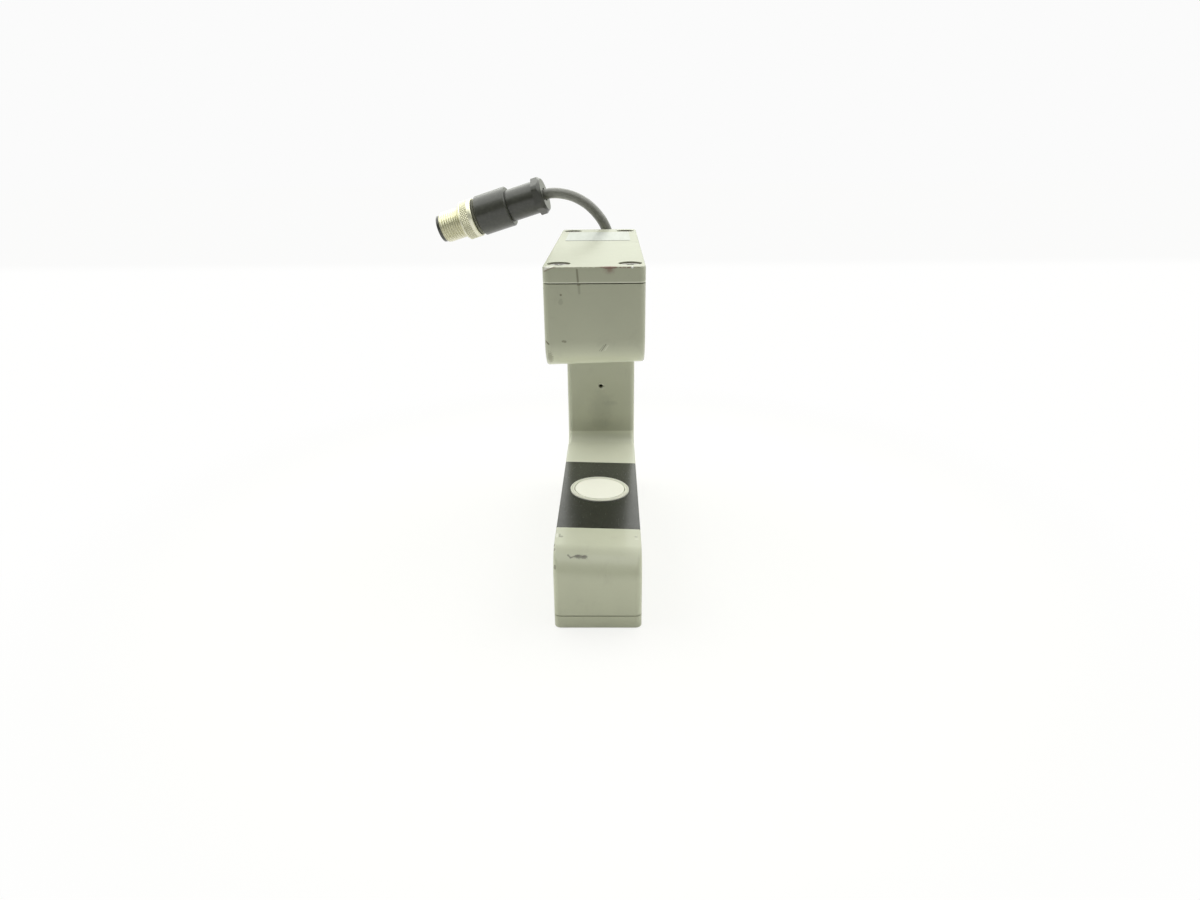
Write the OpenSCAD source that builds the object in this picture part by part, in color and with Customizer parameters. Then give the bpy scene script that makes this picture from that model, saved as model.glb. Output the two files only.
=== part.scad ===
// Fork-shaped ultrasonic edge sensor with a short cable and a round screw plug.
// The origin is the middle of the base. +X is across the fork, +Y runs from the
// open end of the fork to its column, and +Z is up.

/* [Housing] */
// Width of the housing across the fork
width = 28; // [27:0.5:40]
// Length from the front of the arms to the back of the column
depth = 122; // [112:1:160]
// Height of the upper arm with its cover, at mid width
upper_arm_h = 28.4; // [27:0.1:36]
// Height of the lower arm with its cover, at mid width
lower_arm_h = 25.6; // [25:0.1:36]
// Clear height between the arms, at mid width
fork_gap = 60; // [40:1:100]
// Thickness of the column from front to back
column_t = 20; // [18:0.5:30]
// Length of the ledge between the end of a cover and the front of the column
cover_setback = 2; // [1:0.5:6]
// Height of the shoulder behind the upper cover, above the gap's upper face
shoulder_rise = 15.9; // [15:0.1:17]
// Thickness of the side walls of the arms
side_wall = 2.5; // [2:0.1:3.5]
// Thickness of the front wall of the arms
front_wall = 3; // [2:0.1:5]
// Wall between the inner end of an arm's trough and the end of its cover
rear_wall = 2; // [1.5:0.1:4]
// Thickness of the arm between trough and gap, face plate included
face_wall = 5; // [4.8:0.1:7]
// Draft of the two faces of the gap, from mid width to either side
draft = 1.8; // [0.5:0.1:3]

/* [Rounds] */
// Radius of the arms' noses at the gap
nose_r = 8.5; // [5:0.5:10]
// Radius of the column's back corners, top and bottom
back_r = 8.5; // [4:0.5:10]
// Radius in the throat of the fork
throat_r = 4.5; // [3:0.5:8]
// Radius at the foot of the shoulder
step_r = 1.5; // [0.5:0.5:3]
// Radius along the side edges of the housing
edge_r = 2; // [1:0.25:3]
// Radius along the side edges of the two gap faces
gap_edge_r = 0.4; // [0.2:0.1:1]
// Radius of the troughs' corners
trough_r = 1.5; // [0.5:0.25:3]

/* [Covers] */
// Thickness of a cover
cover_t = 4.35; // [4:0.05:6]
// Radius along the outer rim of a cover
cover_rim_r = 0.4; // [0.2:0.1:0.8]
// Thickness of a cover's gasket
gasket_t = 0.3; // [0.2:0.1:1]
// Distance of a gasket's rim from the housing's side
gasket_inset = 0.3; // [0.1:0.1:0.6]
// Distance of the cover screws from the ends of the cover
screw_end = 6.5; // [6:0.25:9]
// Distance of the cover screws from the sides of the cover
screw_side = 4.15; // [4:0.05:5]
// Diameter of a screw pocket in a cover
pocket_d = 6.6; // [6:0.1:7.4]
// Depth of a screw pocket in a cover
pocket_depth = 2.2; // [2:0.1:3.2]
// Diameter of the screw bosses in the troughs
boss_d = 6.5; // [6:0.25:6.75]

/* [Cover screws] */
// Thread diameter of a cover screw
cover_screw_d = 3; // [2.5:0.5:3]
// Head diameter of a cover screw
cover_screw_head_d = 5.5; // [4.5:0.1:5.8]
// Head height of a cover screw
cover_screw_head_h = 1.8; // [1.2:0.1:2]
// Length of a cover screw under its head
cover_screw_len = 9; // [6:0.5:12]

/* [Face plates] */
// Distance of a face plate's front edge from the front of the arm
plate_front = 20; // [14:0.5:26]
// Distance of a face plate's rear edge from the front of the arm
plate_rear = 77.5; // [70:0.5:84]
// Thickness of a face plate
plate_t = 2.5; // [1.5:0.1:2.6]

/* [Transducers] */
// Distance of the transducers' axis from the front of the arms
transducer_y = 51.5; // [42:0.5:56]
// Outer diameter of a transducer's rim in its face plate
rim_d = 21.6; // [20:0.2:22]
// Height of the rim above the face plate
rim_lip = 0.4; // [0.1:0.1:0.8]
// Diameter of a transducer's case behind the plate
case_d = 19; // [18:0.2:19.4]
// Length of a transducer's case behind the plate's surface
case_len = 9; // [8:0.5:10]
// Diameter of the hollow in the case
case_bore_d = 16; // [14:0.2:16.4]
// Diameter of the white radiating face
face_d = 18.1; // [17:0.1:18.2]
// Thickness of the radiating face
face_t = 2; // [1.5:0.1:2.5]
// Width of the slit round the radiating face
face_slit = 0.3; // [0.2:0.05:0.4]
// Width of the slit between rim and face plate
rim_slit = 0.15; // [0.1:0.05:0.3]
// Diameter of the fine turned line in the rim
rim_line_d = 20.3; // [19.6:0.1:20.6]
// Diameter of the ceramic disc
piezo_d = 12; // [8:0.5:14]
// Thickness of the ceramic disc
piezo_t = 2; // [1:0.1:2.5]
// Wall of the ring that holds the case
retainer_wall = 1.65; // [1:0.05:1.65]
// Height of the ring that holds the case
retainer_h = 2.5; // [2:0.1:3]
// How far the ring that holds the case sinks into the trough's floor
retainer_sink = 0.4; // [0.2:0.1:0.8]
// Width of the key slots in the ring that holds the case
key_slot_w = 1.2; // [0.8:0.1:2]
// Depth of the key slots in the ring that holds the case
key_slot_depth = 1; // [0.5:0.1:1.5]
// Section diameter of a transducer's sealing ring
case_seal_d = 0.9; // [0.7:0.05:1]

/* [Boards] */
// Thickness of the circuit boards
board_t = 1.6; // [1:0.1:2]
// Distance of a board's front edge from the front of the arms
board_front = 12; // [11:0.5:16]
// Gap between a board's rear end and the rear end of its trough
board_rear_gap = 9; // [7:0.5:14]
// Gap between a board's long edges and the trough's walls
board_side_gap = 0.8; // [0.3:0.1:1.5]
// Height of the posts that carry the main board
main_post_h = 9.4; // [9:0.1:10]
// Height of the posts that carry the transmitter board
transmitter_post_h = 8.6; // [8:0.1:9]
// Diameter of the posts
post_d = 5; // [4:0.25:5.5]
// Distance of the posts from mid width
post_x = 7.8; // [6:0.1:8]
// Distance of the front posts' axes from the board's front end
post_front = 4; // [3.5:0.5:6]
// Distance of the rear posts' axes from the board's rear end
post_rear = 8; // [7:0.5:12]
// Depth of the screw holes in the posts
post_hole = 5; // [4:0.5:7]
// Thread diameter of a board screw
board_screw_d = 2.4; // [2:0.1:2.5]
// Length of a board screw under its head
board_screw_len = 5; // [4:0.5:7]
// Head diameter of a board screw
board_screw_head_d = 4.2; // [3.6:0.1:4.4]
// Head height of a board screw
board_screw_head_h = 1.5; // [1:0.1:1.8]

/* [Column] */
// Diameter of the cable channel in the column
channel_d = 6; // [5:0.5:7]
// Distance of the channel's axis behind the front of the column
channel_setback = 6; // [5:0.5:7]
// Diameter of the cross bores between the channel and the troughs
cross_bore_d = 5.5; // [5:0.1:5.8]
// Distance of the upper cross bores' axes above the trough's floor
upper_bore_rise = 3.4; // [3.1:0.1:3.8]
// Distance of the lower cross bore's axis below the trough's floor
lower_bore_drop = 4.6; // [4:0.1:6]
// Diameter of the small vent hole in the front of the column
vent_d = 1.6; // [1:0.1:2]
// Diameter of the vent hole's countersink
vent_rim_d = 2.5; // [2.1:0.1:3]
// Height of the vent hole above the base
vent_z = 50.1; // [40:0.1:70]
// Diameter of the tapping hole of the threads in the column's back
back_thread_d = 4.2; // [3.3:0.1:5]
// Distance between the threads in the column's back
back_thread_spacing = 40; // [30:1:60]
// Depth of the threads in the column's back
back_thread_depth = 9; // [6:0.5:9.5]

/* [Cable] */
// Diameter of the cable
cable_d = 4; // [3.4:0.1:4.2]
// Gap between the cable's end and the screw bosses beside it
cable_boss_gap = 0.1; // [0.1:0.05:0.5]
// Bend radius of the cable's end inside the housing
tail_bend_r = 4.4; // [4:0.1:4.4]
// Height of the gland above the shoulder
gland_h = 2.5; // [2:0.1:4]
// Width of the gland across its flats
gland_af = 9; // [8.5:0.1:10]
// Diameter of the gland's stub in the casting
gland_stub_d = 7; // [6.5:0.1:7.2]
// Length of the gland's stub
gland_stub_len = 3; // [2.5:0.1:3]
// Thickness of the gland's sealing washer
gland_seal_t = 0.5; // [0.3:0.1:1]
// Diameter of the link cable in the column
link_d = 2.5; // [2:0.1:3]

/* [Plug] */
// Outer diameter of the plug's screw thread
thread_d = 12; // [11.8:0.1:12.2]
// Length of the plug's screw thread
thread_len = 8.9; // [7:0.1:11]
// Diameter of the knurled part of the coupling ring
knurl_d = 15.2; // [14.6:0.1:16]
// Length of the knurled part of the coupling ring
knurl_len = 5; // [4:0.1:7]
// Length of the cone between thread and knurl
cone_len = 0.8; // [0.5:0.1:1.5]
// Diameter of the contact carrier's collar in front of the thread
collar_d = 10.6; // [10:0.1:10.9]
// Thickness of the contact carrier's collar
collar_t = 1.1; // [0.8:0.1:1.6]
// Diameter of the contact carrier's stem, on which the ring turns
stem_d = 9.1; // [8.8:0.1:9.2]
// Radial running clearance of the coupling ring
ring_fit = 0.05; // [0.02:0.01:0.08]
// Axial play of the coupling ring at each end
ring_play = 0.2; // [0.15:0.05:0.4]
// Thickness of the ring seal between coupling ring and grip
plug_seal_t = 0.8; // [0.6:0.1:1.2]
// Diameter of the ring seal
plug_seal_d = 14; // [13:0.1:14.6]
// Diameter of the thick part of the grip
grip_d = 15.6; // [15:0.1:17]
// Length of the thick part of the grip
grip_len = 13.5; // [11:0.5:16]
// Diameter of the thin part of the grip
neck_d = 12.4; // [12.2:0.1:14]
// Length of the thin part of the grip
neck_len = 11.3; // [9:0.1:14]
// Diameter of the clamp nut over its rounded corners
nut_d = 14.4; // [14.2:0.1:16]
// Width of the clamp nut across its flats
nut_af = 13.4; // [13:0.1:14]
// Length of the clamp nut
nut_len = 3.6; // [3.4:0.1:6]
// Length of the clamp nut's end chamfer
nut_chamfer = 1.3; // [0.5:0.1:1.5]
// Length of the contact carrier inside the grip
carrier_in_grip = 6; // [5:0.5:8]
// Diameter of the chamber in the grip
chamber_d = 10.2; // [9.6:0.1:10.6]
// Length of the grip's nose inside the clamp nut
nose_len = 2.3; // [2:0.1:2.6]
// Length of the clamping bush
bush_len = 4.6; // [3.5:0.1:5.5]
// Diameter of the clamping bush
bush_d = 7.2; // [6:0.1:8]
// Length of the cable's jacket inside the grip
jacket_in_grip = 6; // [5:0.5:7]
// Upward slope of the plug's axis, from its tip to the cable, in degrees
plug_rise = 17.2; // [0:0.1:40]
// Turn of the plug's axis about the vertical, in degrees
plug_turn = -6.3; // [-30:0.1:30]

/* [Hidden] */

// Steps of the modelled rounds
round_steps = 8;
fillet_steps = 5;
edge_steps = 4;
rim_steps = 3;
// Sides of turned forms, of small turned forms, and of swept cables
turned = 96;
small = 32;
cable_sides = 8;
// How far a cutting body runs past the surface that it cuts
past = 1;
// Clearances of a piece in its hole, of a screw in its thread and of a plate in its recess
hole_fit = 0.1;
thread_fit = 0.05;
recess_fit = 0.1;
// Clearance of sliding and rubber pieces
slip = 0.05;

// Heights
total_h = lower_arm_h + fork_gap + upper_arm_h;
lower_face_z = lower_arm_h;
upper_face_z = lower_arm_h + fork_gap;
lower_parting_z = cover_t + gasket_t;
upper_parting_z = total_h - cover_t - gasket_t;
shoulder_z = upper_face_z + shoulder_rise;
foot_z = lower_parting_z;
lower_trough_z = lower_face_z - face_wall;
upper_trough_z = upper_face_z + face_wall;

// Distances from the front of the arms
column_front = depth - column_t;
cover_len = column_front - cover_setback;
trough_rear = cover_len - rear_wall;
channel_y = column_front + channel_setback;
screw_x = width / 2 - screw_side;
trough_w = width - 2 * side_wall;

// Places of the boards
board_w = trough_w - 2 * board_side_gap;
board_len = trough_rear - board_front - board_rear_gap;
main_board_z = upper_trough_z + main_post_h;
transmitter_board_z = lower_trough_z - transmitter_post_h - board_t;

// Cross bores, the ring that holds a case, and the gland beside the screw bosses
upper_bore_z = upper_trough_z + upper_bore_rise;
lower_bore_z = lower_trough_z - lower_bore_drop;
retainer_d = case_d + 2 * slip + 2 * retainer_wall;
ring_seat = face_wall - retainer_sink;
gland_x = screw_x - boss_d / 2 - cable_boss_gap - cable_d / 2;
gland_top_z = shoulder_z + gland_h;
back_thread_z = lower_face_z + fork_gap / 2;

// Sizes of the plug along its axis, from its tip
ring_start = collar_t + ring_play;
ring_end = ring_start + thread_len + cone_len + knurl_len;
plug_seal_start = ring_end + ring_play;
grip_start = plug_seal_start + plug_seal_t;
neck_start = grip_start + grip_len;
nut_start = neck_start + neck_len;
plug_len = nut_start + nut_len;
carrier_len = grip_start + carrier_in_grip;
bush_start = nut_start + nose_len - bush_len;
jacket_start = nut_start - jacket_in_grip;
nut_mouth = 1;
nose_d = 10.2;
nut_wall = 1.3;
pin_d = 1;
pin_pcd = 5;
socket_d = 8.2;
socket_depth = 8;

// Route of the free cable, from the plug to the gland, measured from the gland's top
cable_steps = [
    [-27.1, 4.4, 22.1], [-25.2, 4.2, 22.6], [-23.4, 4.0, 22.8], [-21.2, 3.8, 22.8],
    [-18.6, 3.4, 22.5], [-16.3, 3.0, 22.0], [-14.0, 2.6, 21.2], [-11.9, 2.3, 20.2],
    [-9.9, 1.9, 19.0], [-8.1, 1.6, 17.6], [-6.4, 1.3, 16.0], [-4.9, 1.0, 14.3],
    [-3.5, 0.7, 12.4], [-2.4, 0.5, 10.4], [-1.4, 0.3, 8.0], [-0.6, 0.1, 5.0],
    [-0.2, 0.0, 2.0], [0, 0, 0]];
cable_route = [for (p = cable_steps) [gland_x, channel_y - depth / 2, gland_top_z] + p];

// Turns a distance from the front of the arms into a place along Y
function fy(d) = d - depth / 2;

// Radius of the side edge at share t of an arc whose far end, t = 1, meets a gap face
function edge_at(t) = edge_r + (gap_edge_r - edge_r) * t * t;

// Arc of n steps in the Y-Z plane, as [y, z, lean, edge radius]: in is 1 where the yoke lies inside
// the arc and -1 where it lies outside, i is the inset in shares of the edge radius, and lean says
// which gap face the arc follows; the edge radius runs from its value at t0 to its value at t1
function arc(cy, cz, r, in, i, a0, a1, n, lean, t0, t1) =
    [for (k = [0:n])
        let (a = a0 + (a1 - a0) * k / n, e = edge_at(t0 + (t1 - t0) * k / n), ri = r - in * e * i)
            [cy + ri * cos(a), cz + ri * sin(a), lean, e]];

// Side view of the yoke, drawn inwards by i times the edge radius, as [y, z, lean, edge radius]
function yoke_outline(i) = let (e = edge_r, s = edge_r * i) concat(
    [[fy(0) + s, -past, 0, e],
        [fy(cover_len) - s, -past, 0, e],
        [fy(cover_len) - s, foot_z + s, 0, e]],
    arc(fy(depth) - back_r, foot_z + back_r, back_r, 1, i, -90, 0, round_steps, 0, 0, 0),
    arc(fy(depth) - back_r, shoulder_z - back_r, back_r, 1, i, 0, 90, round_steps, 0, 0, 0),
    arc(fy(cover_len) + step_r, shoulder_z + step_r, step_r, -1, i, 270, 180, fillet_steps, 0, 0, 0),
    [[fy(cover_len) - s, total_h + past, 0, e],
        [fy(0) + s, total_h + past, 0, e]],
    arc(fy(0) + nose_r, upper_face_z + nose_r, nose_r, 1, i, 180, 270, round_steps, 1, 0, 1),
    arc(fy(column_front) - throat_r, upper_face_z - throat_r, throat_r, -1, i,
        90, 0, fillet_steps, 1, 1, 0),
    arc(fy(column_front) - throat_r, lower_face_z + throat_r, throat_r, -1, i,
        0, -90, fillet_steps, -1, 0, 1),
    arc(fy(0) + nose_r, lower_face_z - nose_r, nose_r, 1, i, 90, 180, round_steps, -1, 1, 0));

// Places across the width, as [side, step out from the flat, inset], in shares of the edge radius
yoke_stations = [for (side = [-1, 1]) for (k = [0:edge_steps])
    let (a = side < 0 ? 90 * k / edge_steps : 90 - 90 * k / edge_steps) [side, cos(a), 1 - sin(a)]];

// Point of the yoke at station s, for point p of its side view
function yoke_point(s, p) =
    let (x = s[0] * (width / 2 - p[3] + p[3] * s[1])) [x, p[0], p[1] + p[2] * tan(draft) * x];

// Outline of a rounded rectangle, drawn inwards by i, as [x, y]
function rect_ring(w, y0, y1, r, i) =
    [for (c = [[1, -1, -90], [1, 1, 0], [-1, 1, 90], [-1, -1, 180]])
        for (k = [0:edge_steps])
            let (a = c[2] + 90 * k / edge_steps)
                [c[0] * (w / 2 - r) + (r - i) * cos(a),
                    (c[1] < 0 ? y0 + r : y1 - r) + (r - i) * sin(a)]];

// Side faces of a loft of m rings with n points each
function loft_sides(m, n) =
    [for (j = [0:m - 2]) for (k = [0:n - 1]) for (t = [0, 1])
        let (a = j * n + k, b = j * n + (k + 1) % n)
            t == 0 ? [a, a + n, b + n] : [a, b + n, b]];

// The whole end of a loft with n points as one convex face
function one_cap(n) = [[for (k = [0:n - 1]) k]];

// Where each stretch of yoke_outline() starts in its list
n_round = round_steps + 1;
n_fillet = fillet_steps + 1;
at_back_low = 3;
at_back_high = at_back_low + n_round;
at_step = at_back_high + n_round;
at_top = at_step + n_fillet;
at_nose_high = at_top + 2;
at_throat_high = at_nose_high + n_round;
at_throat_low = at_throat_high + n_fillet;
at_nose_low = at_throat_low + n_fillet;
outline_n = at_nose_low + n_round;

// Triangles from point p to the n points that start at first
function fan(p, first, n) = [for (k = [0:n - 2]) [p, first + k, first + k + 1]];

// The side face of the yoke in convex pieces: lower arm, column and upper arm
yoke_cap = concat(
    [concat([0, 1, 2], [for (k = [at_nose_low - 1:outline_n - 1]) k])],
    [[2, at_back_low, at_nose_low - 1]],
    fan(at_nose_low - 1, at_back_low, n_round),
    fan(at_back_high - 1, at_throat_low, n_fillet),
    [[at_back_high - 1, at_back_high, at_throat_low - 1, at_throat_low]],
    fan(at_back_high, at_throat_high, n_fillet),
    fan(at_throat_high, at_back_high, n_round),
    [[at_throat_high, at_step - 1, at_step]],
    fan(at_throat_high, at_step, n_fillet),
    [concat([at_throat_high], [for (k = [at_top - 1:at_throat_high - 1]) k])]);

// Solid between the rings of a loft, all with as many points, listed anticlockwise seen from the last
module loft(rings, cap) {
    n = len(rings[0]);
    m = len(rings);
    polyhedron(
        points = [for (ring = rings) for (p = ring) p],
        faces = concat(
            cap,
            [for (f = cap) [for (k = [len(f) - 1:-1:0]) (m - 1) * n + f[k]]],
            loft_sides(m, n)));
}

// Vectors for the swept cables
function unit(v) = v / norm(v);
function along(path, k, first, last) =
    k == 0 ? first : k == len(path) - 1 ? last : unit(path[k + 1] - path[k - 1]);
function ring_at(p, t, r, n) =
    let (u = unit(cross(t, [0.1, 1, 0.05])), v = cross(t, u))
        [for (k = [0:n - 1]) p + r * cos(360 * k / n) * u + r * sin(360 * k / n) * v];

// Cable of diameter d along a path, with its end faces square to first and last
module swept(path, d, first, last) {
    loft([for (k = [0:len(path) - 1])
        ring_at(path[k], along(path, k, first, last), d / 2, cable_sides)], one_cap(cable_sides));
}

// Rounded rectangle between y0 and y1, centred across the width
module rounded_rect(w, y0, y1, r) {
    translate([-w / 2 + r, y0])
        square([w - 2 * r, y1 - y0]);
    translate([-w / 2, y0 + r])
        square([w, y1 - y0 - 2 * r]);
    for (x = [-1, 1], y = [y0 + r, y1 - r])
        translate([x * (w / 2 - r), y])
            circle(r = r, $fn = small);
}

// Puts the children at the four cover screws
module at_cover_screws(z) {
    for (x = [-1, 1], d = [screw_end, cover_len - screw_end])
        translate([x * screw_x, fy(d), z])
            children();
}

// Opening of a trough in plan: the screw bosses fill its corners
module trough_plan() {
    difference() {
        rounded_rect(trough_w, fy(front_wall), fy(trough_rear), trough_r);
        for (x = [-1, 1], e = [-1, 1])
            boss_plan(x, e);
    }
}

// One screw boss with the web that ties it to the corner of the trough
module boss_plan(x, e) {
    y = e < 0 ? fy(screw_end) : fy(cover_len - screw_end);
    translate([x * screw_x, y]) {
        circle(d = boss_d, $fn = turned);
        scale([x, e])
            translate([0, -boss_d / 2])
                square([side_wall + screw_side, boss_d / 2 + screw_end]);
        scale([x, e])
            translate([-boss_d / 2, 0])
                square([boss_d / 2 + screw_side, screw_end]);
    }
}

// Frames of the two gap faces: z = 0 is the face, +Z points into the gap
module on_lower_face() {
    translate([0, fy(transducer_y), lower_face_z])
        rotate([0, draft, 0])
            children();
}

module on_upper_face() {
    translate([0, fy(transducer_y), upper_face_z])
        rotate([0, -draft, 0])
            rotate([180, 0, 0])
                children();
}

// Outer form of the casting, before the parting planes are cut
module outer_form() {
    loft([for (s = yoke_stations) [for (p = yoke_outline(s[2])) yoke_point(s, p)]], yoke_cap);
}

// Block that a face plate fills, in the frame of its gap face; e opens its ends
module plate_block(front, rear, e) {
    translate([-width, front - e, -plate_t])
        cube([2 * width, rear - front + 2 * e, 2 * plate_t]);
}

module lower_plate_block(e) {
    on_lower_face()
        plate_block(plate_front - transducer_y, plate_rear - transducer_y, e);
}

module upper_plate_block(e) {
    on_upper_face()
        plate_block(transducer_y - plate_rear, transducer_y - plate_front, e);
}

// Posts that carry a board; z is their lower end and h their height
module board_posts(z, h, d) {
    for (x = [-1, 1], y = [board_front + post_front, board_front + board_len - post_rear])
        translate([x * post_x, fy(y), z])
            cylinder(h = h, d = d, $fn = small);
}

// Holes for a transducer: its case and its retaining ring, which a narrow trough is relieved for
module transducer_holes() {
    translate([0, 0, -case_len - past])
        cylinder(h = case_len + 2 * past, d = case_d + 2 * hole_fit, $fn = turned);
    translate([0, 0, -face_wall - past])
        cylinder(h = past + retainer_sink, d = retainer_d + 2 * hole_fit, $fn = turned);
    translate([0, 0, -ring_seat - retainer_h - thread_fit])
        cylinder(h = retainer_h, d = retainer_d + 2 * thread_fit, $fn = turned);
}

// Bore from the end of a trough to the column's channel, at x and z
module cross_bore(x, z) {
    translate([x, fy(trough_rear) - past, z])
        rotate([-90, 0, 0])
            cylinder(h = channel_y - trough_rear + 2 * past, d = cross_bore_d, $fn = small);
}

// Holes in the column: channel, cross bores, gland, vent and the threads in its back
module column_holes() {
    gland_hole = cable_d + 1;
    translate([0, fy(channel_y), lower_bore_z - past])
        cylinder(h = upper_bore_z - lower_bore_z + 2 * past, d = channel_d, $fn = small);
    cross_bore(0, lower_bore_z);
    cross_bore(0, upper_bore_z);
    cross_bore(gland_x, upper_bore_z);
    translate([gland_x, fy(channel_y), upper_bore_z - past / 2])
        cylinder(h = shoulder_z - upper_bore_z, d = gland_hole, $fn = small);
    translate([gland_x, fy(channel_y), shoulder_z - gland_stub_len - hole_fit])
        cylinder(h = gland_stub_len + past, d = gland_stub_d + 2 * thread_fit, $fn = small);
    vent_holes();
    for (s = [-1, 1])
        translate([0, fy(depth) + past, back_thread_z + s * back_thread_spacing / 2])
            rotate([90, 0, 0])
                cylinder(h = back_thread_depth + past, d = back_thread_d, $fn = small);
}

module vent_holes() {
    rim_past = 0.2;
    rim_h = (vent_rim_d - vent_d) / 2 + 2 * rim_past;
    translate([0, fy(column_front) - past, vent_z])
        rotate([-90, 0, 0])
            cylinder(h = channel_setback + past, d = vent_d, $fn = small);
    translate([0, fy(column_front) - rim_past, vent_z])
        rotate([-90, 0, 0])
            cylinder(h = rim_h, d1 = vent_rim_d + 2 * rim_past, d2 = vent_d - 2 * rim_past, $fn = small);
}

// Die-cast yoke: both arms and the column in one piece
module yoke_casting() color([0.62, 0.63, 0.55]) {
    screw_hole_d = board_screw_d + 2 * thread_fit;
    difference() {
        outer_form();
        translate([-width, fy(-past), upper_parting_z])
            cube([2 * width, depth, total_h]);
        translate([-width, fy(-past), lower_parting_z - total_h])
            cube([2 * width, depth + 2 * past, total_h]);
        difference() {
            translate([0, 0, upper_trough_z])
                linear_extrude(height = total_h - upper_trough_z)
                    trough_plan();
            board_posts(upper_trough_z - past, main_post_h + past, post_d);
        }
        difference() {
            translate([0, 0, -past])
                linear_extrude(height = lower_trough_z + past)
                    trough_plan();
            board_posts(lower_trough_z - transmitter_post_h, transmitter_post_h + past, post_d);
        }
        board_posts(main_board_z - post_hole, post_hole + past, screw_hole_d);
        board_posts(transmitter_board_z + board_t - past, post_hole + past, screw_hole_d);
        lower_plate_block(recess_fit);
        upper_plate_block(recess_fit);
        on_lower_face()
            transducer_holes();
        on_upper_face()
            transducer_holes();
        at_cover_screws(upper_parting_z - cover_screw_len)
            cylinder(h = cover_screw_len + past, d = cover_screw_d + 2 * thread_fit, $fn = small);
        at_cover_screws(lower_parting_z - past)
            cylinder(h = cover_screw_len + past, d = cover_screw_d + 2 * thread_fit, $fn = small);
        column_holes();
    }
}

// Cover with its outer face up at z = 0, below it the pockets for the screws
module cover() {
    ring_insets = concat(
        [[-cover_t, 0]],
        [for (k = [0:rim_steps]) let (a = 90 * k / rim_steps)
            [-cover_rim_r * (1 - sin(a)), cover_rim_r * (1 - cos(a))]]);
    difference() {
        loft([for (q = ring_insets)
            [for (p = rect_ring(width, fy(0), fy(cover_len), edge_r, q[1])) [p[0], p[1], q[0]]]],
            one_cap(4 * (edge_steps + 1)));
        at_cover_screws(-pocket_depth)
            cylinder(h = pocket_depth + past, d = pocket_d, $fn = small);
        at_cover_screws(-cover_t - past)
            cylinder(h = cover_t + 2 * past, d = cover_screw_d + 2 * hole_fit, $fn = small);
    }
}

module upper_cover() color([0.66, 0.67, 0.59]) {
    translate([0, 0, total_h])
        cover();
}

module lower_cover() color([0.66, 0.67, 0.59]) {
    mirror([0, 0, 1])
        cover();
}

// Gasket that follows the rim of a trough
module gasket(z) {
    translate([0, 0, z])
        linear_extrude(height = gasket_t)
            difference() {
                rounded_rect(width - 2 * gasket_inset, fy(gasket_inset), fy(cover_len - gasket_inset),
                    edge_r - gasket_inset);
                trough_plan();
                for (x = [-1, 1], d = [screw_end, cover_len - screw_end])
                    translate([x * screw_x, fy(d)])
                        circle(d = cover_screw_d + 2 * hole_fit, $fn = small);
            }
}

module upper_cover_gasket() color([0.2, 0.2, 0.18]) gasket(upper_parting_z);

module lower_cover_gasket() color([0.2, 0.2, 0.18]) gasket(cover_t);

// Screw with its head's seat at z = 0 and a cross recess in its head
module screw(d, length, head_d, head_h) {
    recess_w = head_d * 0.15;
    recess_l = head_d * 0.55;
    difference() {
        union() {
            translate([0, 0, -length])
                cylinder(h = length, d = d, $fn = small);
            cylinder(h = head_h, d = head_d, $fn = small);
        }
        for (a = [0, 90])
            rotate([0, 0, a + 45])
                translate([-recess_l / 2, -recess_w / 2, head_h * 0.4])
                    cube([recess_l, recess_w, head_h]);
    }
}

module cover_screw() {
    screw(cover_screw_d, cover_screw_len, cover_screw_head_d, cover_screw_head_h);
}

module upper_cover_screws() color([0.75, 0.75, 0.72]) {
    at_cover_screws(total_h - pocket_depth)
        cover_screw();
}

module lower_cover_screws() color([0.75, 0.75, 0.72]) {
    at_cover_screws(pocket_depth)
        rotate([180, 0, 0])
            cover_screw();
}

// Hole in a face plate for the rim of its transducer
module rim_hole() {
    translate([0, 0, -plate_t - past])
        cylinder(h = 2 * (plate_t + past), d = rim_d + 2 * rim_slit, $fn = turned);
}

module lower_face_plate() color([0.13, 0.13, 0.12]) {
    difference() {
        intersection() {
            outer_form();
            lower_plate_block(0);
        }
        on_lower_face()
            rim_hole();
    }
}

module upper_face_plate() color([0.13, 0.13, 0.12]) {
    difference() {
        intersection() {
            outer_form();
            upper_plate_block(0);
        }
        on_upper_face()
            rim_hole();
    }
}

// Height of a transducer's sealing ring, and its play in its groove
seal_z = -(plate_t + ring_seat) / 2;
seal_side_gap = 0.2;
seal_slack = 0.02;

// Turned case of a transducer: rim, seat for the face, groove for the seal
module transducer_case() {
    groove_d = case_d + 2 * hole_fit - 2 * case_seal_d;
    groove_w = case_seal_d + 2 * seal_side_gap;
    face_seat = rim_lip - face_t;
    line_w = 0.2;
    rim_chamfer = 0.15;
    rotate_extrude($fn = turned)
        difference() {
            polygon([
                [face_d / 2 + face_slit, rim_lip],
                [rim_d / 2 - rim_chamfer, rim_lip],
                [rim_d / 2, rim_lip - rim_chamfer],
                [rim_d / 2, -plate_t],
                [case_d / 2, -plate_t],
                [case_d / 2, -case_len],
                [case_bore_d / 2, -case_len],
                [case_bore_d / 2, face_seat],
                [face_d / 2 + face_slit, face_seat]]);
            translate([groove_d / 2, seal_z - groove_w / 2])
                square([case_seal_d, groove_w]);
            translate([rim_line_d / 2 - line_w / 2, rim_lip - line_w])
                square([line_w, 2 * line_w]);
        }
}

module transducer_face() {
    translate([0, 0, rim_lip - face_t])
        cylinder(h = face_t, d = face_d, $fn = turned);
}

module transducer_piezo() {
    translate([0, 0, rim_lip - face_t - piezo_t])
        cylinder(h = piezo_t, d = piezo_d, $fn = turned);
}

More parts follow.
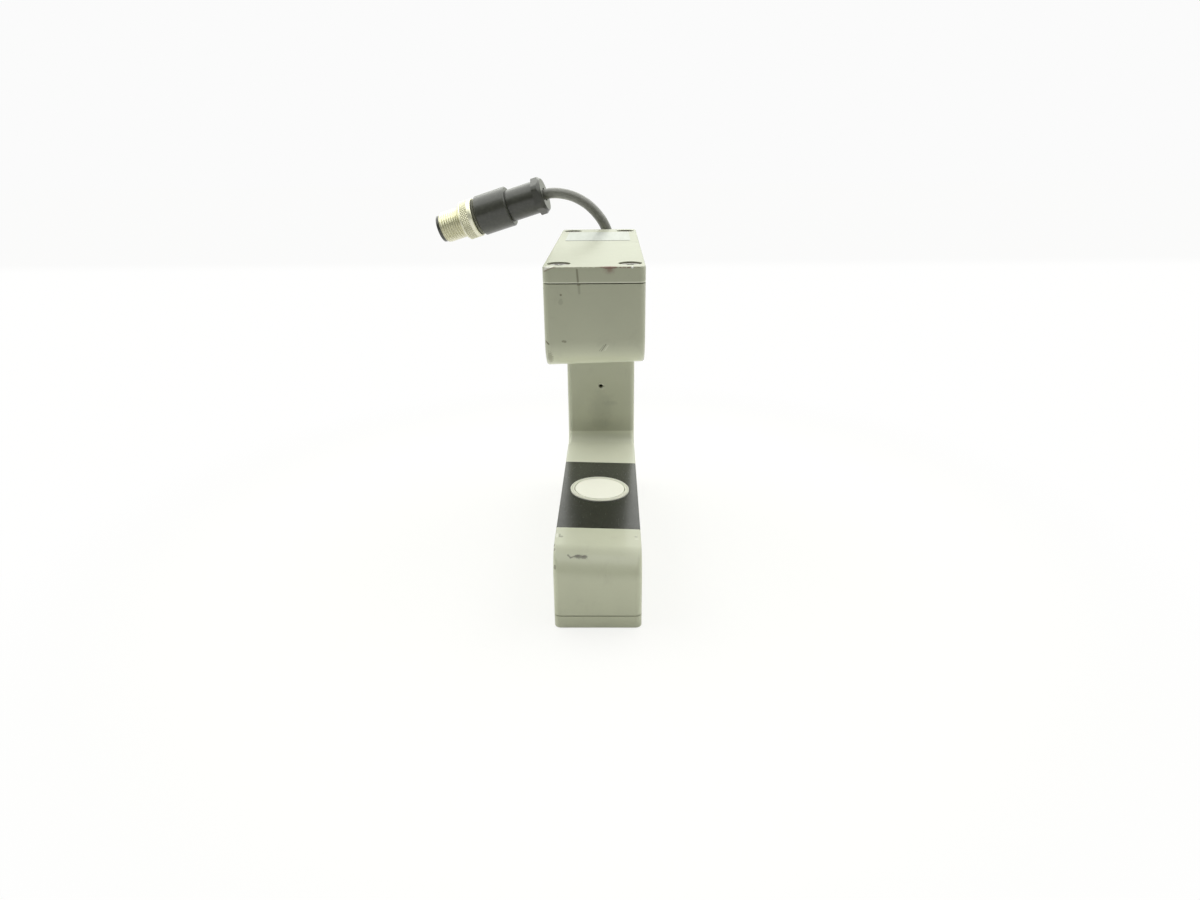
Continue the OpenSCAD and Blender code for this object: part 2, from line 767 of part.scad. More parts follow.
// Underside of the ceramic disc, its damping disc and its two leads
piezo_back = rim_lip - face_t - piezo_t;
backing_t = 3;
lead_d = 0.8;
lead_x = 3;
lead_end_gap = 0.3;

// Damping disc behind the ceramic, with holes for the leads
module transducer_backing() {
    difference() {
        translate([0, 0, piezo_back - backing_t])
            cylinder(h = backing_t, d = case_bore_d - 2 * hole_fit, $fn = turned);
        for (x = [-1, 1])
            translate([x * lead_x, 0, piezo_back - backing_t - past])
                cylinder(h = backing_t + 2 * past, d = lead_d + 2 * hole_fit, $fn = small);
    }
}

// Leads from the ceramic to a board that lies reach behind the gap face
module transducer_leads(reach) {
    for (x = [-1, 1])
        translate([x * lead_x, 0, lead_end_gap - reach])
            cylinder(h = reach - lead_end_gap + piezo_back, d = lead_d, $fn = small);
}

module transducer_seal() {
    rotate_extrude($fn = turned)
        translate([case_d / 2 + hole_fit - case_seal_d / 2, seal_z])
            circle(d = case_seal_d - seal_slack, $fn = small);
}

module transducer_retainer() {
    translate([0, 0, -ring_seat - retainer_h])
        difference() {
            cylinder(h = retainer_h, d = retainer_d, $fn = turned);
            translate([0, 0, -past])
                cylinder(h = retainer_h + 2 * past, d = case_d + 2 * slip, $fn = turned);
            for (a = [0, 90])
                rotate([0, 0, a + 45])
                    translate([-width / 2, -key_slot_w / 2, -past])
                        cube([width, key_slot_w, key_slot_depth + past]);
        }
}

module receiver_case() color([0.2, 0.2, 0.18]) on_upper_face() transducer_case();
module receiver_face() color([0.93, 0.93, 0.87]) on_upper_face() transducer_face();
module receiver_piezo() color([0.8, 0.76, 0.6]) on_upper_face() transducer_piezo();
module receiver_backing() color([0.3, 0.28, 0.25]) on_upper_face() transducer_backing();
module receiver_leads() color([0.7, 0.2, 0.15])
    on_upper_face() transducer_leads(main_board_z - upper_face_z);
module receiver_seal() color([0.1, 0.1, 0.1]) on_upper_face() transducer_seal();
module receiver_retainer() color([0.7, 0.7, 0.68]) on_upper_face() transducer_retainer();

module transmitter_case() color([0.2, 0.2, 0.18]) on_lower_face() transducer_case();
module transmitter_face() color([0.93, 0.93, 0.87]) on_lower_face() transducer_face();
module transmitter_piezo() color([0.8, 0.76, 0.6]) on_lower_face() transducer_piezo();
module transmitter_backing() color([0.3, 0.28, 0.25]) on_lower_face() transducer_backing();
module transmitter_leads() color([0.7, 0.2, 0.15])
    on_lower_face() transducer_leads(lower_face_z - transmitter_board_z - board_t);
module transmitter_seal() color([0.1, 0.1, 0.1]) on_lower_face() transducer_seal();
module transmitter_retainer() color([0.7, 0.7, 0.68]) on_lower_face() transducer_retainer();

// Circuit board with its lower face at z
module board(z) {
    difference() {
        translate([-board_w / 2, fy(board_front), z])
            cube([board_w, board_len, board_t]);
        board_posts(z - past, board_t + 2 * past, board_screw_d + 2 * hole_fit);
    }
}

module main_board() color([0.1, 0.35, 0.2]) board(main_board_z);

module transmitter_board() color([0.1, 0.35, 0.2]) board(transmitter_board_z);

// Components in shares of the board's width and length: [x, y, width, length], with their heights
chips = [[0, 0.44, 0.47, 0.13], [-0.23, 0.26, 0.23, 0.08], [0.23, 0.26, 0.23, 0.08]];
chip_h = 1.4;
coil = [-0.19, 0.65, 0.3, 0.085];
coil_h = 4;
header = [0, 0.948, 0.56, 0.052];
header_h = 4.5;
capacitors = [[0, 0.156], [0.23, 0.61]];
capacitor_d = 0.23 * board_w;
capacitor_h = 4.8;

// Block of a component on z = 0
module component(c, h) {
    w = c[2] * board_w;
    l = c[3] * board_len;
    translate([c[0] * board_w - w / 2, fy(board_front) + c[1] * board_len - l / 2, 0])
        cube([w, l, h]);
}

// Components of a board on z = 0: chips, coil, cable header and capacitors
module board_parts() {
    for (c = chips)
        component(c, chip_h);
    component(coil, coil_h);
    component(header, header_h);
    for (c = capacitors)
        translate([c[0] * board_w, fy(board_front) + c[1] * board_len, 0])
            cylinder(h = capacitor_h, d = capacitor_d, $fn = small);
}

module main_board_parts() color([0.15, 0.15, 0.16]) {
    translate([0, 0, main_board_z + board_t])
        board_parts();
}

module transmitter_board_parts() color([0.15, 0.15, 0.16]) {
    translate([0, 0, transmitter_board_z])
        mirror([0, 0, 1])
            board_parts();
}

module board_screws(z, turn) {
    for (x = [-1, 1], y = [board_front + post_front, board_front + board_len - post_rear])
        translate([x * post_x, fy(y), z])
            rotate([turn, 0, 0])
                screw(board_screw_d, board_screw_len, board_screw_head_d, board_screw_head_h);
}

module main_board_screws() color([0.75, 0.75, 0.72])
    board_screws(main_board_z + board_t, 0);

module transmitter_board_screws() color([0.75, 0.75, 0.72])
    board_screws(transmitter_board_z, 180);

// Quarter bend of radius r about [y, z], from angle a0 to a1, at x
function bend(x, y, z, r, a0, a1) =
    [for (k = [0:4]) let (a = a0 + (a1 - a0) * k / 4) [x, y + r * cos(a), z + r * sin(a)]];

// Where the cables meet the boards: distance from a board's rear end, and gap to its face
cable_inset = 3;
link_end_gap = 0.1;
tail_end_gap = 0.2;

// Link cable from the main board through the column to the transmitter board
module link_cable() color([0.25, 0.25, 0.27]) {
    r = channel_d / 2;
    board_y = fy(board_front + board_len - cable_inset);
    upper_z = main_board_z - link_end_gap;
    lower_z = transmitter_board_z + board_t + link_end_gap;
    path = concat(
        [[0, board_y, upper_z]],
        bend(0, board_y + r, upper_bore_z + r, r, 180, 270),
        bend(0, fy(channel_y) - r, upper_bore_z - r, r, 90, 0),
        bend(0, fy(channel_y) - r, lower_bore_z + r, r, 0, -90),
        [[0, board_y + 2 * r, lower_bore_z]],
        bend(0, board_y + link_d, lower_bore_z - link_d, link_d, 90, 180),
        [[0, board_y, lower_z]]);
    swept(path, link_d, [0, 0, -1], [0, 0, -1]);
}

// End of the sensor cable inside the housing
module cable_tail() color([0.2, 0.2, 0.19]) {
    r = tail_bend_r;
    end_y = fy(board_front + board_len - cable_inset);
    path = concat(
        [[gland_x, end_y, main_board_z - tail_end_gap]],
        bend(gland_x, end_y + r, upper_bore_z + r, r, 180, 270),
        bend(gland_x, fy(channel_y) - r, upper_bore_z + r, r, 270, 360),
        [[gland_x, fy(channel_y), gland_top_z]]);
    swept(path, cable_d, [0, 0, -1], [0, 0, 1]);
}

module gland_bore() {
    translate([gland_x, fy(channel_y), shoulder_z - gland_stub_len - past])
        cylinder(h = gland_stub_len + gland_h + 2 * past, d = cable_d + 2 * slip, $fn = small);
}

module cable_gland() color([0.12, 0.12, 0.12]) {
    difference() {
        union() {
            translate([gland_x, fy(channel_y), shoulder_z + gland_seal_t])
                cylinder(h = gland_h - gland_seal_t, d = gland_af / cos(30), $fn = 6);
            translate([gland_x, fy(channel_y), shoulder_z - gland_stub_len])
                cylinder(h = gland_stub_len + gland_seal_t, d = gland_stub_d, $fn = small);
        }
        gland_bore();
    }
}

module gland_seal() color([0.1, 0.1, 0.1]) {
    gland_seal_inset = 0.2;
    translate([gland_x, fy(channel_y), shoulder_z])
        difference() {
            cylinder(h = gland_seal_t, d = gland_af - 2 * gland_seal_inset, $fn = small);
            translate([0, 0, -past])
                cylinder(h = gland_seal_t + 2 * past, d = gland_stub_d + 2 * slip, $fn = small);
        }
}

// Direction of the plug's axis from its tip to the cable
plug_axis = [cos(plug_rise) * cos(plug_turn), cos(plug_rise) * sin(plug_turn), sin(plug_rise)];

module cable() color([0.24, 0.24, 0.22]) {
    swept(cable_route, cable_d, plug_axis, [0, 0, -1]);
}

// Frame of the plug: z = 0 is its tip and +Z runs to the cable, which starts at its route's first point
module in_plug() {
    translate(cable_route[0])
        rotate([0, 0, plug_turn])
            rotate([0, 90 - plug_rise, 0])
                translate([0, 0, nut_mouth - plug_len])
                    children();
}

// Puts the children at the four contacts
module at_pins() {
    for (a = [45:90:315])
        rotate([0, 0, a])
            translate([pin_pcd / 2, 0, 0])
                children();
}

module contact_carrier() color([0.13, 0.13, 0.12]) in_plug() {
    key_w = 1.2;
    key_h = 0.7;
    difference() {
        union() {
            cylinder(h = collar_t, d = collar_d, $fn = turned);
            cylinder(h = carrier_len, d = stem_d, $fn = turned);
        }
        difference() {
            translate([0, 0, -past])
                cylinder(h = socket_depth + past, d = socket_d, $fn = turned);
            translate([socket_d / 2 - key_h, -key_w / 2, -past])
                cube([key_h + past, key_w, socket_depth + 2 * past]);
        }
        at_pins()
            cylinder(h = carrier_len + past, d = pin_d + 2 * slip, $fn = small);
    }
}

// Where the pins start behind the tip, and how far they stand out of the carrier
pin_start = 1.6;
solder_len = 2;

module contact_pins() color([0.8, 0.65, 0.3]) in_plug() {
    at_pins()
        translate([0, 0, pin_start])
            cylinder(h = carrier_len + solder_len - pin_start, d = pin_d, $fn = small);
}

module coupling_ring() color([0.8, 0.79, 0.72]) in_plug() {
    chamfer = 0.5;
    cone_start = ring_start + thread_len;
    rotate_extrude($fn = turned)
        polygon([
            [stem_d / 2 + ring_fit, ring_start],
            [thread_d / 2 - chamfer, ring_start],
            [thread_d / 2, ring_start + chamfer],
            [thread_d / 2, cone_start],
            [knurl_d / 2 - cone_len, cone_start],
            [knurl_d / 2, cone_start + cone_len],
            [knurl_d / 2, ring_end],
            [stem_d / 2 + ring_fit, ring_end]]);
}

module plug_seal() color([0.1, 0.1, 0.1]) in_plug() {
    translate([0, 0, plug_seal_start])
        difference() {
            cylinder(h = plug_seal_t, d = plug_seal_d, $fn = turned);
            translate([0, 0, -past])
                cylinder(h = plug_seal_t + 2 * past, d = stem_d + 2 * slip, $fn = turned);
        }
}

module plug_grip() color([0.16, 0.16, 0.15]) in_plug() {
    chamfer = 0.8;
    throat_len = 1;
    funnel_len = 1.4;
    throat_start = bush_start - throat_len;
    nose_end = nut_start + nose_len;
    rotate_extrude($fn = turned)
        polygon([
            [stem_d / 2 + slip, grip_start],
            [grip_d / 2 - chamfer, grip_start],
            [grip_d / 2, grip_start + chamfer],
            [grip_d / 2, neck_start - chamfer / 2],
            [grip_d / 2 - chamfer / 2, neck_start],
            [neck_d / 2, neck_start],
            [neck_d / 2, nut_start],
            [nose_d / 2, nut_start],
            [nose_d / 2, nose_end],
            [bush_d / 2 + slip, nose_end],
            [bush_d / 2 + slip, bush_start],
            [cable_d / 2 + hole_fit, bush_start],
            [cable_d / 2 + hole_fit, throat_start],
            [chamber_d / 2, throat_start - funnel_len],
            [chamber_d / 2, carrier_len],
            [stem_d / 2 + slip, carrier_len]]);
}

// Four conductors that spread from the cable's end to the contacts
module plug_wires() color([0.5, 0.35, 0.2]) in_plug() {
    wire_d = 0.9;
    wire_gap = 0.1;
    wire_end_r = 1;
    from_z = carrier_len + solder_len + wire_gap;
    rise = jacket_start - wire_gap - from_z;
    spread = pin_pcd / 2 - wire_end_r;
    lean = atan(spread / rise);
    for (a = [45:90:315])
        rotate([0, 0, a])
            translate([pin_pcd / 2, 0, from_z])
                rotate([0, -lean, 0])
                    cylinder(h = rise / cos(lean) - wire_gap, d = wire_d, $fn = small);
}

module plug_cable_end() color([0.24, 0.24, 0.22]) in_plug() {
    translate([0, 0, jacket_start])
        cylinder(h = plug_len - nut_mouth - jacket_start, d = cable_d, $fn = small);
}

module clamp_bush() color([0.1, 0.1, 0.1]) in_plug() {
    translate([0, 0, bush_start])
        difference() {
            cylinder(h = bush_len, d = bush_d, $fn = small);
            translate([0, 0, -past])
                cylinder(h = bush_len + 2 * past, d = cable_d + 2 * slip, $fn = small);
        }
}

module clamp_nut() color([0.18, 0.18, 0.17]) in_plug() {
    chamfer_slope = 0.8;
    mouth_gap = 0.6;
    difference() {
        intersection() {
            translate([0, 0, nut_start])
                cylinder(h = nut_len, d = nut_af / cos(30), $fn = 6);
            translate([0, 0, nut_start])
                cylinder(h = nut_len, d = nut_d, $fn = turned);
            translate([0, 0, nut_start])
                cylinder(h = nut_len, d1 = nut_d + 2 * (nut_len - nut_chamfer) * chamfer_slope,
                    d2 = nut_d - 2 * nut_chamfer * chamfer_slope, $fn = turned);
        }
        translate([0, 0, nut_start - past])
            cylinder(h = nut_len - nut_wall + past, d = nose_d + 2 * slip, $fn = turned);
        translate([0, 0, nut_start])
            cylinder(h = nut_len + past, d = cable_d + 2 * mouth_gap, $fn = small);
    }
}

yoke_casting();
upper_cover();
lower_cover();
upper_cover_gasket();
lower_cover_gasket();
upper_cover_screws();
lower_cover_screws();
upper_face_plate();
lower_face_plate();
receiver_case();
receiver_face();
receiver_piezo();
receiver_backing();
receiver_leads();
receiver_seal();
receiver_retainer();
transmitter_case();
transmitter_face();
transmitter_piezo();
transmitter_backing();
transmitter_leads();
transmitter_seal();
transmitter_retainer();
main_board();
main_board_parts();
main_board_screws();
transmitter_board();
transmitter_board_parts();
transmitter_board_screws();
link_cable();
cable_tail();
cable_gland();
gland_seal();
cable();
contact_carrier();
contact_pins();
coupling_ring();
plug_seal();
plug_grip();
plug_wires();
plug_cable_end();
clamp_bush();
clamp_nut();
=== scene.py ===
"""Looks of the fork-shaped ultrasonic edge sensor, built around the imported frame.

Everything is in metres in the frame of the CAD part. The materials work in millimetres
of the object's own coordinates, so a mark stays where it is at every pose.
"""

import math

import bmesh
import bpy
from mathutils import Matrix, Vector


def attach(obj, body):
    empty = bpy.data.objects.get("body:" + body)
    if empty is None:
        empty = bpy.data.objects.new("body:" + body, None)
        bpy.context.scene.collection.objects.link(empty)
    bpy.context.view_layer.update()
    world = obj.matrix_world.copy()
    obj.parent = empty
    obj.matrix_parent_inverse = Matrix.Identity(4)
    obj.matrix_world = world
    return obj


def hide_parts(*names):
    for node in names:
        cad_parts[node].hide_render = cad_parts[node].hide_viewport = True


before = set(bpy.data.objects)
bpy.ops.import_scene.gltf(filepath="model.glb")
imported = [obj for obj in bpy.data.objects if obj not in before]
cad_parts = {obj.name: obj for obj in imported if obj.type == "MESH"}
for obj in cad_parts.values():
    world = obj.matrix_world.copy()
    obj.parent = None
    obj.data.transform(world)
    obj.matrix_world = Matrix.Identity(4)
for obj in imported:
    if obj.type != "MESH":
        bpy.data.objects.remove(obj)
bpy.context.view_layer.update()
scene = bpy.context.scene
MM = 0.001

# ---------------------------------------------------------------- camera
PHOTO_WIDTH = 1200
FOCAL_PIXELS = 776.45
SENSOR_WIDTH = 36.0
CAMERA_PLACE = Vector((0.00488, -0.27208, 0.14410))
CAMERA_PITCH = math.radians(21.397)
CAMERA_YAW = math.radians(-1.011)
CAMERA_ROLL = math.radians(0.552)


def make_camera():
    """Camera where the photograph was taken from."""
    sy, cy = math.sin(CAMERA_YAW), math.cos(CAMERA_YAW)
    sp, cp = math.sin(CAMERA_PITCH), math.cos(CAMERA_PITCH)
    ahead = Vector((sy * cp, cy * cp, -sp))
    level = Vector((cy, -sy, 0))
    down = ahead.cross(level)
    sr, cr = math.sin(CAMERA_ROLL), math.cos(CAMERA_ROLL)
    right = cr * level + sr * down
    down = cr * down - sr * level
    data = bpy.data.cameras.new("camera")
    data.sensor_width = SENSOR_WIDTH
    data.lens = FOCAL_PIXELS / PHOTO_WIDTH * SENSOR_WIDTH
    data.clip_start, data.clip_end = 0.01, 20
    camera = bpy.data.objects.new("camera", data)
    turn = Matrix((right, -down, -ahead)).transposed()
    camera.matrix_world = Matrix.Translation(CAMERA_PLACE) @ turn.to_4x4()
    scene.collection.objects.link(camera)
    scene.camera = camera


make_camera()


# ---------------------------------------------------------------- node graphs
class Graph:
    """A material's node tree, with one short call for each kind of node."""

    def __init__(self, name):
        self.material = bpy.data.materials.new(name)
        self.material.use_nodes = True
        self.tree = self.material.node_tree
        self.tree.nodes.clear()
        self.output = self.node("ShaderNodeOutputMaterial")
        self.shader = self.node("ShaderNodeBsdfPrincipled")
        self.link(self.shader.outputs[0], self.output.inputs["Surface"])
        place = self.node("ShaderNodeTexCoord").outputs["Object"]
        self.place = self.vector("SCALE", place, scale=1 / MM)

    def node(self, kind, **settings):
        made = self.tree.nodes.new(kind)
        for name, value in settings.items():
            setattr(made, name, value)
        return made

    def link(self, source, target):
        self.tree.links.new(source, target)

    def feed(self, target, value):
        if hasattr(value, "is_output"):
            self.link(value, target)
        elif value is not None:
            target.default_value = value

    def vector(self, operation, a, b=None, scale=None):
        made = self.node("ShaderNodeVectorMath", operation=operation)
        self.feed(made.inputs[0], a)
        if b is not None:
            self.feed(made.inputs[1], b)
        if scale is not None:
            self.feed(made.inputs["Scale"], scale)
        return made.outputs["Value" if operation in ("LENGTH", "DOT_PRODUCT") else "Vector"]

    def math(self, operation, a, b=None, clamp=False):
        made = self.node("ShaderNodeMath", operation=operation, use_clamp=clamp)
        self.feed(made.inputs[0], a)
        if b is not None:
            self.feed(made.inputs[1], b)
        return made.outputs[0]

    def times(self, *values):
        """Product of masks and numbers."""
        total = values[0]
        for value in values[1:]:
            total = self.math("MULTIPLY", total, value)
        return total

    def axis(self, name, place=None):
        made = self.node("ShaderNodeSeparateXYZ")
        self.feed(made.inputs[0], place or self.place)
        return made.outputs[name]

    def step(self, value, low, high):
        """0 below low and 1 above high, or the other way round where low is above high."""
        made = self.node("ShaderNodeMapRange", clamp=True, interpolation_type="SMOOTHSTEP")
        ends = {"From Min": low, "From Max": high, "To Min": 0.0, "To Max": 1.0}
        for name, number in ends.items():
            made.inputs[name].default_value = number
        self.feed(made.inputs["Value"], value)
        return made.outputs[0]

    def noise(self, scale, detail=2.0, rough=0.5, stretch=None, warp=0.0):
        """Noise with that many waves in a millimetre."""
        source = self.place
        if stretch is not None:
            source = self.vector("MULTIPLY", source, stretch)
        made = self.node("ShaderNodeTexNoise")
        self.feed(made.inputs["Vector"], source)
        made.inputs["Scale"].default_value = scale
        made.inputs["Detail"].default_value = detail
        made.inputs["Roughness"].default_value = rough
        made.inputs["Distortion"].default_value = warp
        return made.outputs[0]

    def mix(self, share, a, b):
        """a where share is 0 and b where it is 1, as colours."""
        made = self.node("ShaderNodeMix", data_type="RGBA")
        self.feed(made.inputs[0], share)
        for socket, value in ((made.inputs[6], a), (made.inputs[7], b)):
            self.feed(socket, value if hasattr(value, "is_output") else (*value, 1.0))
        return made.outputs[2]

    def blend(self, share, a, b):
        """a where share is 0 and b where it is 1, as numbers."""
        made = self.node("ShaderNodeMix", data_type="FLOAT")
        for socket, value in zip(made.inputs, (share, None, a, b)):
            self.feed(socket, value)
        return made.outputs[0]

    def either(self, *masks):
        """Highest of the masks."""
        total = masks[0]
        for mask in masks[1:]:
            total = self.math("MAXIMUM", total, mask)
        return total

    def spot(self, centre, radii, ragged=0.5, grain=1.2, soft=0.35):
        """Mask of a blotch about a point, with a ragged rim."""
        offset = self.vector("SUBTRACT", self.place, centre)
        far = self.vector("LENGTH", self.vector("DIVIDE", offset, radii))
        wave = self.math("SUBTRACT", self.noise(grain, 4.0, 0.65), 0.5)
        far = self.math("ADD", far, self.times(wave, 2 * ragged))
        return self.step(far, 1.0, 1.0 - soft)

    def scratch(self, start, end, width, broken=0.0):
        """Mask of a scratch between two points, with more gaps the higher broken is."""
        a, b = Vector(start), Vector(end)
        reach = b - a
        offset = self.vector("SUBTRACT", self.place, tuple(a))
        share = self.math("MULTIPLY", self.vector("DOT_PRODUCT", offset, tuple(reach)),
                          1 / reach.length_squared, clamp=True)
        foot = self.vector("SCALE", tuple(reach), scale=share)
        far = self.vector("LENGTH", self.vector("SUBTRACT", offset, foot))
        mask = self.step(far, width, width * 0.3)
        if broken:
            whole = self.step(self.noise(1.7, 3.0), broken, broken + 0.12)
            mask = self.times(mask, whole)
        return mask

    def bump(self, height, distance):
        """Bump whose height of 1 is that many millimetres."""
        made = self.node("ShaderNodeBump")
        made.inputs["Distance"].default_value = distance * MM
        made.inputs["Strength"].default_value = 1.0
        self.feed(made.inputs["Height"], height)
        return made.outputs[0]

    def finish(self, color, rough, normal, metallic=0.0, **fixed):
        self.link(color, self.shader.inputs["Base Color"])
        self.feed(self.shader.inputs["Roughness"], rough)
        self.feed(self.shader.inputs["Metallic"], metallic)
        self.link(normal, self.shader.inputs["Normal"])
        for name, value in fixed.items():
            self.shader.inputs[name.replace("_", " ")].default_value = value
        return self.material


# ---------------------------------------------------------------- sizes that the looks share
# Millimetres of the object
TOP_Z = 114.0
HALF_WIDTH = 14.0
FRONT_Y = -61.0
COVER_LOW_Z = 109.65
LOWER_GAP_Z = 25.6
THROAT_TOP_Z = 30.1
COLUMN_Y = 41.0
PLATE_REAR_Y = 16.5
VENT = (0.0, COLUMN_Y, 50.1)
# Of the two covers, only the upper one lies above this height
UPPER_ONLY_Z = 100.0
# Screw pockets of a cover, which lie in mirror image about SCREW_MID_Y
SCREW_X = 9.85
SCREW_MID_Y = -11.0
SCREW_HALF_Y = 43.5
POCKET_R = 3.3
# Chipped corner of the upper cover
CHIP_WIDTH = 3.1
CHIP_HEIGHT = 1.4
# The plug's tip is in metres
PLUG_TIP = Vector((-0.06476, 0.05605, 0.11297))
PLUG_AXIS = Vector((0.949509, -0.104827, 0.295708)).normalized()

# Plug: its slant, and the ring's sizes in millimetres from the plug's tip
PLUG_RISE = math.radians(17.2)
PLUG_TURN = math.radians(-6.3)
RING_START = 1.3
THREAD_END = 10.2
CONE_END = 11.0
KNURL_START = 11.2
KNURL_END = 14.4
RING_END = 16.0
BORE_R = 4.6
THREAD_R = 6.0
THREAD_PITCH = 1.0
THREAD_DEPTH = 0.5
THREAD_LEAD = 0.5
THREAD_RUNOUT = 0.6
CONE_R = 6.8
KNURL_R = 7.6
KNURL_DEPTH = 0.26
KNURL_COUNT = 46
KNURL_LEAD = 1.04
KNURL_RAMP = 0.25
RIM_BEVEL = 0.3
RIM_SLOPE = 0.8
RING_SIDES = 276
THREAD_STEP = 0.1
KNURL_STEP = 0.13
# Hair's breadth that keeps two sections of the ring apart
HAIR = 0.001

PAINT = (0.51, 0.53, 0.39)
PAINT_COVER = (0.505, 0.525, 0.385)
PAINT_LIGHT = (0.66, 0.67, 0.56)
# Pale paint for a painted highlight along the upper cover's lower edge
PAINTED_EDGE_HIGHLIGHT = (0.82, 0.84, 0.68)
SMUDGE = (0.36, 0.36, 0.27)
PRIMER = (0.23, 0.12, 0.09)
GRIME = (0.10, 0.095, 0.065)
# Painted shade in the screw pockets
POCKET_PAINTED_SHADE = (0.17, 0.13, 0.10)
RIM_DIRT = (0.28, 0.22, 0.13)
CHIP_EDGE = (0.24, 0.18, 0.12)
CHIP_FILLER = (0.88, 0.87, 0.76)
BARE_NICK = (0.9, 0.9, 0.85)
SCUFF = (0.13, 0.115, 0.06)
# Paler paint for the painted light in the throat
THROAT_PAINTED_LIGHT = (0.71, 0.73, 0.575)


def scaled(color, factor):
    return tuple(c * factor for c in color)


def paint(name, base, marks):
    """Semi-matt lacquer with orange peel, faint clouds, handling grime and the given marks.
    A mark is (mask, colour, roughness, depth in millimetres), and a later one lies on top."""
    g = Graph(name)
    clouds = g.step(g.noise(0.05, 3.0, 0.55), 0.25, 0.75)
    mottle = g.step(g.noise(0.9, 4.0, 0.6), 0.45, 0.8)
    smudges = g.step(g.noise(0.16, 5.0, 0.62, warp=0.6), 0.53, 0.74)
    specks = g.step(g.noise(2.3, 2.0, 0.5), 0.765, 0.80)
    color = g.mix(clouds, scaled(base, 0.965), scaled(base, 1.03))
    color = g.mix(g.times(mottle, 0.16), color, scaled(base, 0.93))
    color = g.mix(g.times(smudges, 0.2), color, SMUDGE)
    color = g.mix(g.times(specks, 0.5), color, GRIME)
    rough = g.math("ADD", 0.44, g.times(g.noise(0.5, 3.0), 0.12))
    height = g.times(g.noise(1.5, 2.0, 0.4), 0.02)
    for mask, tone, tone_rough, depth in marks(g):
        color = g.mix(mask, color, tone)
        rough = g.blend(mask, rough, tone_rough)
        if depth:
            height = g.math("SUBTRACT", height, g.times(mask, depth))
    return g.finish(color, rough, g.bump(height, 1.0), Coat_Weight=0.5, Coat_Roughness=0.15)


# Each row of a table of wear: kind, what the kind takes, share, colour, roughness and depth.
# A spot takes centre, radii, raggedness, grain and softness, and a scratch takes start, end,
# width and how broken it is.
SPOT, SCRATCH = Graph.spot, Graph.scratch
COLUMN_MARKS = [
    # Broad soft darker patches on the lower column, a small smudge and a pale spot round the vent
    (SPOT, ((0.3, COLUMN_Y, 41.0), (7.5, 1.6, 9.5), 0.3, 0.4, 0.8), 0.17, GRIME, 0.55, 0),
    (SPOT, ((0.0, COLUMN_Y, 33.5), (6.5, 1.6, 3.2), 0.4, 0.6, 0.7), 0.14, GRIME, 0.55, 0),
    (SPOT, ((3.6, COLUMN_Y, 42.7), (4.0, 1.6, 1.3), 0.7, 0.8, 0.6), 0.1, GRIME, 0.55, 0),
    (SPOT, (VENT, (1.5, 0.8, 1.5), 0.1, 1.0, 0.2), 0.4, PAINT_LIGHT, 0.4, 0),
]
UPPER_FRONT_WEAR = [
    (SCRATCH, ((-4.2, FRONT_Y, 109.6), (-4.05, FRONT_Y, 107.0), 0.5, 0.3), 0.3, SCUFF, 0.6, 0),
    (SPOT, ((-4.2, FRONT_Y, 109.2), (0.6, 1.0, 0.3)), 0.5, SCUFF, 0.6, 0),
    (SPOT, ((-9.1, FRONT_Y, 106.5), (0.36, 1.5, 0.36)), 0.65, SCUFF, 0.6, 0.02),
    (SPOT, ((-9.15, FRONT_Y, 104.6), (0.7, 1.5, 1.0), 0.7), 0.2, SCUFF, 0.6, 0),
    (SPOT, ((-8.5, FRONT_Y, 93.7), (0.8, 1.5, 0.45)), 0.55, SCUFF, 0.6, 0),
    (SCRATCH, ((-13.64, -60.15, 93.65), (-12.85, -60.8, 92.9), 0.36), 0.85, SCUFF, 0.6, 0.03),
    (SPOT, ((-12.6, -59.0, 88.6), (0.9, 2.6, 2.8), 1.1, 2.6), 0.45, SCUFF, 0.6, 0.01),
    (SCRATCH, ((3.1, -60.9, 92.8), (1.7, -60.3, 90.6), 0.2), 0.6, GRIME, 0.6, 0.01),
    (SCRATCH, ((3.75, -60.8, 92.5), (2.75, -60.3, 90.9), 0.2), 0.75, PAINT_LIGHT, 0.5, 0),
    (SCRATCH, ((2.55, -60.8, 92.6), (1.2, -60.3, 90.8), 0.16), 0.45, GRIME, 0.6, 0.01),
]
